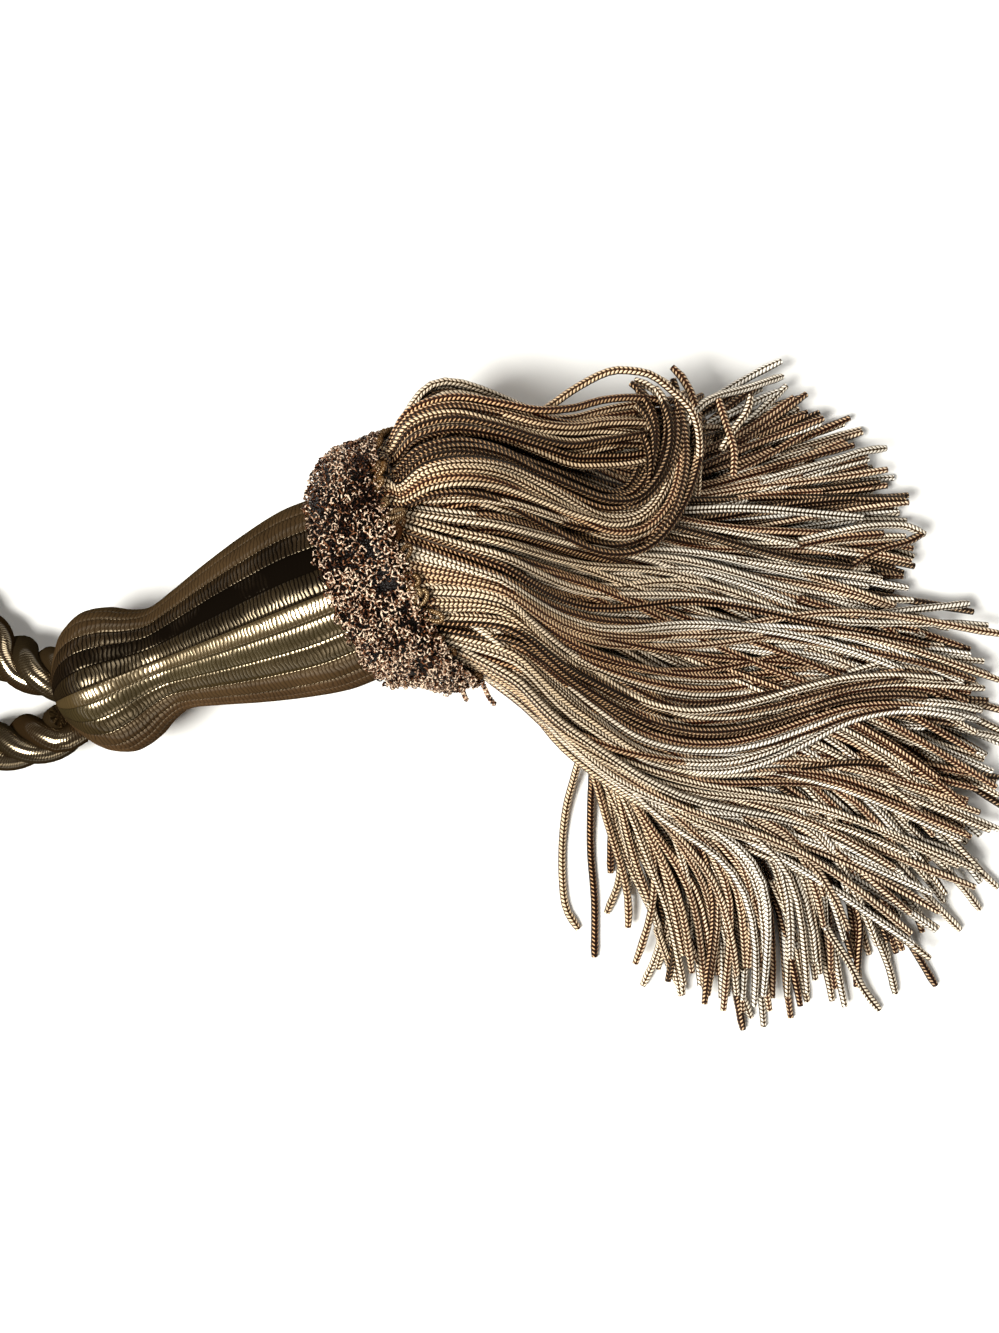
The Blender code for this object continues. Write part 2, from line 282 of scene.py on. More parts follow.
def made_plain(piece: Piece, tree: Tree, inputs: dict[str, Any]) -> Piece:
    """Run a node tree on a piece and keep the result as its plain mesh.

    Args:
        piece: The object that holds the tree's input.
        tree: The geometry node tree.
        inputs: The tree's inputs by name.

    Returns:
        The same object with a plain mesh and no modifier.
    """
    modifier = piece.modifiers.new("making", "NODES")
    modifier.node_group = tree
    for item in tree.interface.items_tree:
        if item.item_type == "SOCKET" and item.in_out == "INPUT" and item.name in inputs:
            modifier[item.identifier] = inputs[item.name]
    depsgraph = bpy.context.evaluated_depsgraph_get()
    evaluated = piece.evaluated_get(depsgraph)
    result = bpy.data.meshes.new_from_object(evaluated, preserve_all_data_layers=True, depsgraph=depsgraph)
    source = piece.data
    piece.modifiers.clear()
    piece.data = result
    bpy.data.meshes.remove(source)
    result.name = piece.name
    return piece


def finished(piece: Piece, slot: Slot, *nodes: str) -> Piece:
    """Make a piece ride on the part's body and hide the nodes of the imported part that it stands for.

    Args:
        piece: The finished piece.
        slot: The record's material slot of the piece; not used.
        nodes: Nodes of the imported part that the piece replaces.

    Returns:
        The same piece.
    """
    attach(piece, Body.ROOT.value)
    if nodes:
        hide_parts(*nodes)
    LOG.info("%s: %d faces", piece.name, len(piece.data.polygons))
    return piece


# ---------------------------------------------------------------- yarn finishes


class Finish:
    """Base of the material builders, with the parts that they share."""

    name: str

    def start(self) -> tuple[Material, Adder, Node]:
        """Make an empty Principled material.

        Returns:
            The material, a function that adds a node to it, and its Principled shader.
        """
        material = bpy.data.materials.new(self.name)
        material.use_nodes = True
        tree = material.node_tree
        return material, partial(add_node, tree), tree.nodes["Principled BSDF"]

    def read_cord(self, add: Adder) -> dict[str, Any]:
        """Read what a cord's mesh carries.

        Args:
            add: Adds a node to the material.

        Returns:
            Metres along the cord, its tone, roll and direction, the place round it in radii, and
            the turns round it from -0.5 to 0.5, by name.
        """
        cord = {}
        for key in ("along", "tone", "roll", "run", "ring_x", "ring_y"):
            node = add(ATTRIBUTE, {"attribute_name": key})
            cord[key] = node.outputs["Vector" if key == "run" else "Fac"]
        angle = add(MATH, {"operation": "ARCTAN2"}, {0: cord["ring_y"], 1: cord["ring_x"]})
        cord["turns"] = add(MATH, {**OVER, 1: TURN}, {0: angle})
        return cord

    def ridges(self, add: Adder, phase: Node) -> Node:
        """Round ridges, one for each whole number of a phase.

        Args:
            add: Adds a node to the material.
            phase: The node that counts the ridges.

        Returns:
            The node that gives their height, from 0 to 1.
        """
        sine = add(MATH, {"operation": "SINE"}, {0: add(MATH, {**TIMES, 1: math.pi}, {0: phase})})
        return add(MATH, {"operation": "ABSOLUTE"}, {0: sine})


@dataclass(frozen=True)
class KnittedChainette(Finish):
    """Rayon chainette: a narrow tube knitted on a few needles.

    Each needle's column of stitches shows as a chain of slanted legs. Each leg's top carries a
    painted highlight over a body that goes from greige to copper and dark brown, and the gaps
    between the legs are painted dark as shade.
    The stitches are drawn 1 mm long, a little coarser than the real ones, so that they show.
    """

    name: str = "knitted_rayon_chainette"
    stitch_mm: float = 1.02
    wales: float = 2.0
    slant: float = 0.85
    stagger: float = 10.0
    relief_mm: float = 0.25
    roughness: float = 0.4
    metallic: float = 0.15
    gloss: float = 0.35
    stretch: float = 0.5
    sheen_tint: str = "#ffe0bc"
    # height on a leg where its painted highlight starts and is full: on a cream cord, and more on a dark
    # one
    highlight_start: tuple[float, float] = (0.22, 0.66)
    highlight_full: tuple[float, float] = (0.70, 0.27)
    # colours of the painted highlights and of the yarn below them by the cord's tone, 0 for cream and 1 for
    # dark
    painted_highlights: Stops = (
        (0.0, "#fffaee"), (0.3, "#fbecd0"), (0.5, "#eed4b0"), (0.7, "#e4c49c"), (1.0, "#d0b08a"),
    )
    bodies: Stops = (
        (0.0, "#8a6c44"), (0.3, "#6a4628"), (0.5, "#6c3a20"), (0.7, "#4a1e0e"), (1.0, "#200c05"),
    )
    # how far the cords have fanned out from the ring, and the tint of painted shade where they are still
    # packed
    packed_mm: tuple[float, float] = (12.0, 46.0)
    packed_shade_tint: str = "#efe3d3"

    def relief(self, add: Adder, cord: dict[str, Any]) -> Node:
        """Height of the stitches, 0 in the gaps and 1 on the tops of the legs.

        Args:
            add: Adds a node to the material.
            cord: What the cord carries.

        Returns:
            The node that gives the height.
        """
        wale = add(MATH, {**TIMES_PLUS, 1: self.wales}, {0: cord["turns"], 2: cord["roll"]})
        # 0 in the middle of a column of stitches and 0.5 at its edges
        place = add(MATH, {"operation": "FRACT"}, {0: wale})
        centred = add(MATH, {"operation": "SUBTRACT", 1: 0.5}, {0: place})
        spread = add(MATH, {"operation": "ABSOLUTE"}, {0: centred})
        phase = add(MATH, {**TIMES, 1: self.stagger}, {0: cord["roll"]})
        stitch = add(MATH, {**TIMES_PLUS, 1: 1.0 / (self.stitch_mm * MM)}, {0: cord["along"], 2: phase})
        leg = add(MATH, {**TIMES_PLUS, 1: 2.0 * self.slant}, {0: spread, 2: stitch})
        inner = add(RANGE, {**SMOOTH, "From Max": 0.16, "To Min": 0.25}, {"Value": spread})
        outer = add(RANGE, {**SMOOTH, "From Min": 0.5, "From Max": 0.34}, {"Value": spread})
        column = add(MATH, TIMES, {0: inner, 1: outer})
        return add(MATH, TIMES, {0: self.ridges(add, leg), 1: column})

    def build(self) -> Material:
        """Build the knitted cord's material.

        Returns:
            The material.
        """
        material, add, shader = self.start()
        cord = self.read_cord(add)
        tone = cord["tone"]
        height = self.relief(add, cord)
        # painted highlight: the darker the cord, the less of each leg is painted light
        start, full = (
            add(MATH, {**TIMES_PLUS, 1: more, 2: least}, {0: tone})
            for least, more in (self.highlight_start, self.highlight_full)
        )
        highlight_share = add(RANGE, SMOOTH, {"Value": height, "From Min": start, "From Max": full})
        # ramps of the yarn's body colour and of its painted highlight colour, by tone
        body, light = (add(RAMP, {"stops": stops}, {0: tone}) for stops in (self.bodies, self.painted_highlights))
        yarn = add(MIX, COLOURS, {0: highlight_share, 6: body, 7: light})
        # painted shade: the gaps between the legs are darkened down to 3 % of the yarn's colour
        depth = add(RANGE, {**SMOOTH, "From Min": 0.1, "From Max": 0.55, "To Min": 0.03}, {"Value": height})
        place = add("ShaderNodeTexCoord").outputs["Object"]
        # dye and handling leave each cord a little uneven over a few centimetres
        uneven = add(NOISE, {"Scale": 90.0, "Detail": 2.0}, {"Vector": place})
        fading = {"From Min": 0.3, "From Max": 0.7, "To Min": 0.8, "To Max": 1.1}
        fade = add(RANGE, fading, {"Value": uneven})
        shade = add(MATH, TIMES, {0: depth, 1: fade})
        colour = add("ShaderNodeVectorMath", {"operation": "SCALE"}, {0: yarn.outputs[2], "Scale": shade})
        # painted shade: packed near the ring, the cords shade each other and what light comes back is
        # warmer, so a warm darker tint is multiplied in
        first, last = self.packed_mm
        packed_shade_range = {"From Min": first * MM, "From Max": last * MM, "To Min": 1.0, "To Max": 0.0}
        packed = add(RANGE, packed_shade_range, {"Value": add("ShaderNodeSeparateXYZ", None, {0: place})})
        shade_tint_mix = {**COLOURS, "blend_type": "MULTIPLY", 7: linear(self.packed_shade_tint)}
        shaded_colour = add(MIX, shade_tint_mix, {0: packed, 6: colour})
        bump = add(BUMP, {"Strength": 0.9, "Distance": self.relief_mm * MM}, {"Height": height})
        # yarn that runs along the cord spreads its highlight round the cord
        gleam = {"Anisotropic": self.stretch, "Anisotropic Rotation": 0.25, "Metallic": self.metallic}
        gleam |= {"Specular IOR Level": self.gloss, "Specular Tint": linear(self.sheen_tint)}
        feeds = {"Base Color": shaded_colour.outputs[2], "Normal": bump, "Tangent": cord["run"]}
        set_up(shader, {"Roughness": self.roughness, **gleam}, feeds)
        return material


@dataclass(frozen=True)
class WoundSatin(Finish):
    """Rayon thread wound side by side over a core.

    The smooth thread gives a narrow band of light along each cord, cut into fine teeth by the
    turns. They are drawn 1 mm wide on the gimp and about half as wide on the rope and the loops,
    coarser than the real thread, so that they show. The colour paints light on the top of each turn
    and shade between the turns, in the grooves between cords and by the cord's tone.
    """

    name: str = "satin_rayon_gimp"
    colour: str = "#3b321d"
    warm: str = "#55402a"
    shade_colour: str = "#0c0805"
    thread_mm: float = 1.0
    slant: float = 1.0
    wander: float = 1.4
    relief_mm: float = 0.07
    roughness: float = 0.25
    stretch: float = 0.6
    groove: float = 0.8
    thread_light: float = 0.32
    gloss_ior: float = 2.6
    sheen_tint: str = "#ffe8c0"

    def build(self) -> Material:
        """Build the satin's material.

        Returns:
            The material.
        """
        material, add, shader = self.start()
        cord = self.read_cord(add)
        place = add("ShaderNodeTexCoord").outputs["Object"]
        turned = add(MATH, {**TIMES, 1: self.slant}, {0: cord["turns"]})
        # the turns wander a little, as the thread isn't quite even
        uneven = add(NOISE, {"Scale": 350.0, "Detail": 1.0}, {"Vector": place})
        wobble = add(MATH, {**TIMES_PLUS, 1: self.wander}, {0: uneven, 2: turned})
        thread = add(MATH, {**TIMES_PLUS, 1: 1.0 / (self.thread_mm * MM)}, {0: cord["along"], 2: wobble})
        ridge = self.ridges(add, thread)
        hues = {**COLOURS, 6: linear(self.colour), 7: linear(self.warm)}
        hue = add(MIX, hues, {0: cord["roll"]})
        patches = add(NOISE, {"Scale": 70.0, "Detail": 3.0}, {"Vector": place})
        mottling = {"From Min": 0.3, "From Max": 0.7, "To Min": 0.35, "To Max": 0.65}
        patchy = add(RANGE, mottling, {"Value": patches})
        # the grooves between neighbouring cords lie in shade
        sinking = {**SMOOTH, "From Min": 0.05, "From Max": 0.5, "To Min": -self.groove, "To Max": 0.0}
        sunk = add(MATH, PLUS, {0: cord["tone"], 1: add(RANGE, sinking, {"Value": cord["ring_x"]})})
        level = add(MATH, PLUS, {0: sunk, 1: patchy})
        # painted light on the top of each turn and painted shade between the turns; where the share is low
        # the colour goes to the near-black shade colour
        raised = add(RANGE, {**SMOOTH, "From Min": 0.15, "From Max": 0.75}, {"Value": ridge})
        lighting = {**TIMES_PLUS, 1: self.thread_light, "use_clamp": True}
        share = add(MATH, lighting, {0: raised, 2: level})
        colour = add(MIX, {**COLOURS, 6: linear(self.shade_colour)}, {0: share, 7: hue.outputs[2]})
        bump = add(BUMP, {"Strength": 0.8, "Distance": self.relief_mm * MM}, {"Height": ridge})
        # seen at a slant, each thread hides the gloss of the next
        facing = add("ShaderNodeLayerWeight", {"Blend": 0.5}).outputs["Facing"]
        hiding = {**SMOOTH, "From Min": 0.08, "From Max": 0.42, "To Min": 1.0, "To Max": 0.0}
        open_view = add(RANGE, hiding, {"Value": facing})
        gloss = add(MATH, TIMES, {0: open_view, 1: add(MATH, TIMES, {0: share, 1: raised})})
        # thread across the cord spreads its highlight along the cord
        gleam = {"Roughness": self.roughness, "Anisotropic": self.stretch, "IOR": self.gloss_ior}
        gleam["Specular Tint"] = linear(self.sheen_tint)
        feeds = {"Base Color": colour.outputs[2], "Normal": bump, "Tangent": cord["run"]}
        set_up(shader, gleam, {**feeds, "Specular IOR Level": gloss})
        return material


@dataclass(frozen=True)
class CrinkledGimp(Finish):
    """Crinkled gimp: short curls of bright thread over a dark core, set at all angles.

    From a step away it is a fine speckle of cream on brown; the cream is partly the thread's own
    colour and partly painted glints. The specks are drawn 0.6 mm wide, a little coarser than the
    turns of the thread, so that they show.
    """

    name: str = "crinkled_looped_gimp"
    speck_mm: float = 0.6
    contrast: float = 0.7
    relief_mm: float = 0.2
    roughness: float = 0.38
    gloss: float = 0.08
    stops: Stops = ((0.0, "#0a0402"), (0.34, "#240f07"), (0.52, "#7c4e30"), (0.74, "#f2d8bc"))

    def build(self) -> Material:
        """Build the crinkled gimp's material.

        Returns:
            The material.
        """
        material, add, shader = self.start()
        place = add("ShaderNodeTexCoord").outputs["Object"]
        tone, shade = (add(ATTRIBUTE, {"attribute_name": key}).outputs["Fac"] for key in ("tone", "shade"))
        own = add(MATH, PLUS, {0: tone, 1: shade})
        # random cells of the speckle: the bright ones are partly cream thread and partly painted glints
        cells = {"Scale": 1.0 / (self.speck_mm * MM), "Randomness": 1.0}
        specks = add("ShaderNodeTexVoronoi", cells, {"Vector": place})
        pick = add("ShaderNodeSeparateColor", None, {0: specks.outputs["Color"]})
        share = add(MATH, {**TIMES_PLUS, 1: self.contrast}, {0: pick, 2: own})
        colour = add(RAMP, {"stops": self.stops}, {0: share})
        rise = {"Strength": 0.9, "Distance": self.relief_mm * MM, "invert": True}
        gleam = {"Roughness": self.roughness, "Specular IOR Level": self.gloss}
        set_up(shader, gleam, {"Base Color": colour, "Normal": add(BUMP, rise, {"Height": specks})})
        return material


@dataclass(frozen=True)
class MattCard(Finish):
    """Matt white card under the tassel: even, with no gloss."""

    name: str = "matt_white_card"
    colour: str = "#f2f2f0"
    roughness: float = 0.9
    relief_mm: float = 0.1

    def build(self) -> Material:
        """Build the floor's material.

        Returns:
            The material.
        """
        material, add, shader = self.start()
        place = add("ShaderNodeTexCoord").outputs["Object"]
        grain = add(NOISE, {"Scale": 900.0, "Detail": 2.0}, {"Vector": place})
        bump = add(BUMP, {"Strength": 0.05, "Distance": self.relief_mm * MM}, {"Height": grain})
        set_up(shader, {"Base Color": linear(self.colour), "Roughness": self.roughness}, {"Normal": bump})
        return material


# ---------------------------------------------------------------- cords made from lines


@dataclass
class Strand:
    """One cord's middle line and what its yarn looks like."""

    line: list[Vector]
    tone: float = 0.0
    roll: float = 0.0
    girth: list[float] | None = None
    outward: list[Vector] | None = None


@dataclass
class CordMaker:
    """Turns the middle lines of strands into round cords with Geometry Nodes.

    Each cord keeps the distance along it, its direction, the place round it, its tone and its
    roll as attributes, which its material reads.
    """

    name: str
    radius_mm: float
    sides: int
    material: Material
    flatness: float = 1.0

    def tree(self) -> Tree:
        """Build the node tree.

        Returns:
            The tree, with named inputs for the cord's radius, its height as a share of its width
            and its number of sides.
        """
        inputs = {"Cord radius": "Float", "Flatness": "Float", "Sides": "Int"}
        tree, add, given = new_tree(f"{self.name}_tubes", inputs)
        radius = given.outputs["Cord radius"]
        lines = add("GeometryNodeMeshToCurve", None, {"Mesh": given})
        outward = add(NAMED, {"data_type": "FLOAT_VECTOR", "Name": "outward"})
        turned = add("GeometryNodeSetCurveNormal", {"mode": "FREE"}, {"Curve": lines, "Normal": outward})
        size = {"Resolution": given.outputs["Sides"], "Radius": radius}
        ring = add("GeometryNodeCurvePrimitiveCircle", {"mode": "RADIUS"}, size)
        parts = add("ShaderNodeSeparateXYZ", None, {0: add("GeometryNodeInputPosition")})
        for key, part in (("ring_x", "X"), ("ring_y", "Y")):
            radii = add(MATH, OVER, {0: parts.outputs[part], 1: radius})
            mark = {"data_type": "FLOAT", "domain": "POINT", "Name": key}
            ring = add("GeometryNodeStoreNamedAttribute", mark, {"Geometry": ring, "Value": radii})
        shape = add("ShaderNodeCombineXYZ", {1: 1.0, 2: 1.0}, {0: given.outputs["Flatness"]})
        pressed = add("GeometryNodeTransform", None, {"Geometry": ring, "Scale": shape})
        girth = add(NAMED, {"data_type": "FLOAT", "Name": "girth"})
        sources = {"Curve": turned, "Profile Curve": pressed, "Scale": girth}
        tube = add("GeometryNodeCurveToMesh", {"Fill Caps": True}, sources)
        end_tree(add, add("GeometryNodeSetShadeSmooth", None, {"Geometry": tube}), self.material)
        return tree

    def make(self, strands: Sequence[Strand]) -> Piece:
        """Make one object of all the strands' cords.

        Args:
            strands: Middle lines in millimetres.

        Returns:
            A plain mesh object.
        """
        points: list[Vector] = []
        edges: list[tuple[int, int]] = []
        keys = ("along", "tone", "roll", "girth", "run", "outward")
        values: dict[str, list[float]] = {key: [] for key in keys}
        for strand in strands:
            travelled = 0.0
            for index, (point, run) in enumerate(zip(strand.line, runs_along(strand.line))):
                if index:
                    travelled += (point - strand.line[index - 1]).length
                    edges.append((len(points) - 1, len(points)))
                away = strand.outward[index] if strand.outward else UPRIGHT.cross(run).cross(run)
                points.append(point * MM)
                values["along"].append(travelled * MM)
                values["tone"].append(strand.tone)
                values["roll"].append(strand.roll)
                values["girth"].append(strand.girth[index] if strand.girth else 1.0)
                values["run"].extend(run)
                values["outward"].extend(away.normalized())
        lines = add_piece(self.name, points, edges, values=values)
        sizes = {"Cord radius": self.radius_mm * MM, "Flatness": self.flatness, "Sides": self.sides}
        return made_plain(lines, self.tree(), sizes)


# ---------------------------------------------------------------- sub-assemblies


@dataclass(frozen=True)
class HeadAxis:
    """The line on which the head, the ruff and the skirt's ring are turned, and the place of that ring."""

    bulb: Vector = field(default_factory=lambda: Vector((-105.0, 5.0, 16.6)))
    heading: float = math.radians(20.8)
    tilt: float = math.radians(10.7)
    ring_mm: float = 87.8

    @property
    def across(self) -> Vector:
        """The level direction to the far side."""
        return Vector((-math.sin(self.heading), math.cos(self.heading), 0.0))

    @property
    def along(self) -> Vector:
        """The direction from the head's tip to the skirt."""
        level = Vector((math.cos(self.heading), math.sin(self.heading), 0.0))
        return level * math.cos(self.tilt) + UPRIGHT * math.sin(self.tilt)

    @property
    def upward(self) -> Vector:
        """The direction square to the axis that rises most."""
        return self.along.cross(self.across)

    def side(self, angle: float) -> Vector:
        """The direction away from the axis at an angle; 0 is the far side, a quarter turn is up."""
        return self.across * math.cos(angle) + self.upward * math.sin(angle)

    def point(self, distance: float, radius: float, angle: float) -> Vector:
        """A point at a distance along the axis, a radius and an angle round it."""
        return self.bulb + self.along * distance + self.side(angle) * radius


AXIS = HeadAxis()


@dataclass
class RopeLoop:
    """Three-ply satin rope from the head's tip, out to a loop and back; its sizes are in metres."""

    diameter: float = 0.013
    lay: float = 0.031
    step: float = 0.0012
    sides: int = 16
    # the plies press into each other, and both ends go on a little way inside the head's tip
    fullness: float = 1.03
    sunk: tuple[float, float] = (0.006, 0.003)
    tones: tuple[float, ...] = (-0.06, 0.0, 0.06)
    roll_step: float = 0.35
    finish: WoundSatin = WoundSatin(
        name="satin_rayon_rope",
        colour="#2d2416",
        warm="#2b1d0d",
        thread_mm=0.55,
        slant=9.0,
        relief_mm=0.03,
        roughness=0.17,
        gloss_ior=3.2,
        groove=0.0,
        stretch=0.7,
    )
    route: tuple[Place, ...] = (
        (-0.1191, 0.0081, 0.0136), (-0.1218, 0.009, 0.0118), (-0.126, 0.0104, 0.0086),
        (-0.1315, 0.013, 0.0068), (-0.14, 0.021, 0.0067), (-0.152, 0.0315, 0.0067), (-0.171, 0.04, 0.0067),
        (-0.2, 0.0455, 0.0067), (-0.235, 0.047, 0.0067), (-0.272, 0.0455, 0.0067), (-0.31, 0.043, 0.0067),
        (-0.345, 0.038, 0.0067), (-0.37, 0.026, 0.0067), (-0.38, 0.007, 0.0067), (-0.371, -0.012, 0.0067),
        (-0.346, -0.0235, 0.0067), (-0.31, -0.027, 0.0067), (-0.272, -0.026, 0.0067),
        (-0.235, -0.0235, 0.0067), (-0.2, -0.021, 0.0067), (-0.172, -0.018, 0.0067),
        (-0.152, -0.0145, 0.0067), (-0.138, -0.0112, 0.0068), (-0.128, -0.0094, 0.0082),
        (-0.1214, -0.008, 0.0112), (-0.1144, -0.0062, 0.0144),
    )

    @property
    def ply_radius(self) -> float:
        """Radius of a ply, so that three that touch just fill the rope's circle."""
        return self.diameter / (2.0 + 4.0 / math.sqrt(3.0))

    def plies(self, line: Sequence[Vector]) -> list[Strand]:
        """Twist three plies round a line.

        Args:
            line: The rope's middle line, in metres.

        Returns:
            The plies' middle lines, in millimetres.
        """
        away = self.diameter / 2.0 - self.ply_radius
        strands = []
        for ply, tone in enumerate(self.tones):
            travelled = 0.0
            places = []
            for index, (centre, run) in enumerate(zip(line, runs_along(line))):
                if index:
                    travelled += (centre - line[index - 1]).length
                side = UPRIGHT.cross(run).normalized()
                upward = run.cross(side)
                angle = TURN * (ply / 3.0 + travelled / self.lay)
                place = centre + (side * math.cos(angle) + upward * math.sin(angle)) * away
                places.append(place / MM)
            strands.append(Strand(places, tone, self.roll_step * ply))
        return strands

    def build(self) -> Piece:
        """Returns:
            The rope.
        """
        line = even_line(self.route, self.step)
        length = sum(steps_of(line))
        radius = self.fullness * self.ply_radius
        maker = CordMaker("rope_plies", radius / MM, self.sides, self.finish.build())
        first, last = (
            end + (AXIS.bulb * MM - end).normalized() * sunk
            for end, sunk in zip((line[0], line[-1]), self.sunk)
        )
        whole = even_line([first, *line, last], self.step)
        rope = finished(maker.make(self.plies(whole)), Slot.ROPE, "rope_loop")
        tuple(self.route[0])
        [tuple(point) for point in line]
        LOG.info("rope length %.3f m", length)
        return rope


@dataclass
class Head:
    """The turned head under lengthways cords of satin-wound gimp."""

    cords: int = 26
    first_edge: float = 0.01
    overlap: float = 1.03
    sides: int = 16
    flatness: float = 0.25
    clearance_mm: float = 0.4
    step: float = 0.8
    seed: int = 11
    # the core's sides, its radius as a share of the outline's, and how far forward it lies
    core_sides: int = 52
    core_share: float = 0.93
    core_shift_mm: float = 0.3
    finish: WoundSatin = WoundSatin()
    # share of the golden hue on the far side up to an angle in degrees, and where the near side's
    # share, painted warm light, starts and is full
    far_warmth: tuple[float, float] = (0.6, 80.2)
    near_painted_warmth: tuple[float, float] = (117.0, 162.0)
    # angle in degrees and the painted light and shade of the yarn there: a band on the far side of the top
    # is painted nearly black, and the top just past it lighter
    painted_shades: tuple[tuple[float, float], ...] = (
        (-90.0, -0.22), (48.0, -0.22), (56.0, -0.62), (84.0, -0.68), (91.0, 0.15), (106.0, 0.12),
        (118.0, -0.08), (270.0, -0.08),
    )
    # distance along the axis and radius
    profile: tuple[tuple[float, float], ...] = (
        (-11.4, 1.0), (-10.8, 4.0), (-9.2, 7.6), (-6.4, 11.8), (-2.6, 15.8), (3.0, 18.0), (9.0, 16.8),
        (14.0, 14.3), (19.0, 13.1), (26.0, 14.8), (36.0, 17.8), (47.0, 20.6), (58.0, 22.6), (66.0, 22.6),
        (76.0, 22.4),
    )

    def shade(self, angle: float) -> float:
        """The painted light and shade of the yarn at an angle."""
        degrees = (math.degrees(angle) + 90.0) % 360.0 - 90.0
        return between_rows([row[0] for row in self.painted_shades], [row[1] for row in self.painted_shades], degrees)

    def warmth(self, angle: float) -> float:
        """The share of golden hue at an angle; on the near side it is painted warm light."""
        degrees = math.degrees(angle)
        far, until = self.far_warmth
        first, full = self.near_painted_warmth
        return far if degrees < until else clamped((degrees - first) / (full - first))

    def build(self) -> list[Piece]:
        """Build the gimp cords, side by side from the tip to under the ruff, over their core.

        Returns:
            The head's pieces.
        """
        rng = random.Random(self.seed)
        outline = even_line(self.profile, self.step)
        runs = runs_along(outline)
        strands = []
        turned = self.first_edge
        widths = [rng.uniform(0.75, 1.25) for _ in range(self.cords)]
        for width in (width / sum(widths) for width in widths):
            angle = TURN * (turned + 0.5 * width)
            turned += width
            line = []
            girth = []
            outward = []
            for place, run in zip(outline, runs):
                half = 0.5 * TURN * place.y * width * self.overlap
                normal = Vector((-run.y, run.x))
                middle = place - normal * self.flatness * half
                centre = AXIS.point(middle.x, middle.y, angle)
                centre.z = max(centre.z, half * self.flatness + self.clearance_mm)
                line.append(centre)
                girth.append(half)
                outward.append(AXIS.along * normal.x + AXIS.side(angle) * normal.y)
            warmth = self.warmth(angle) + rng.uniform(-0.1, 0.3)
            # the cord's tone is the painted light and shade at its angle, with a random tone of its own
            tone = self.shade(angle) + rng.uniform(-0.1, 0.1)
            strands.append(Strand(line, tone, warmth, girth, outward))
        material = self.finish.build()
        maker = CordMaker("head_gimp", 1.0, self.sides, material, self.flatness)
        gimp = finished(maker.make(strands), Slot.GIMP, "head")
        # the core is drawn in the near-black shade colour: painted shade in the grooves between the cords
        middles = [AXIS.point(place.x + self.core_shift_mm, 0.0, 0.0) for place in outline]
        core = Strand(middles, -1.0, girth=[self.core_share * place.y for place in outline])
        maker = CordMaker("head_core", 1.0, self.core_sides, material)
        return [gimp, finished(maker.make([core]), Slot.GIMP)]


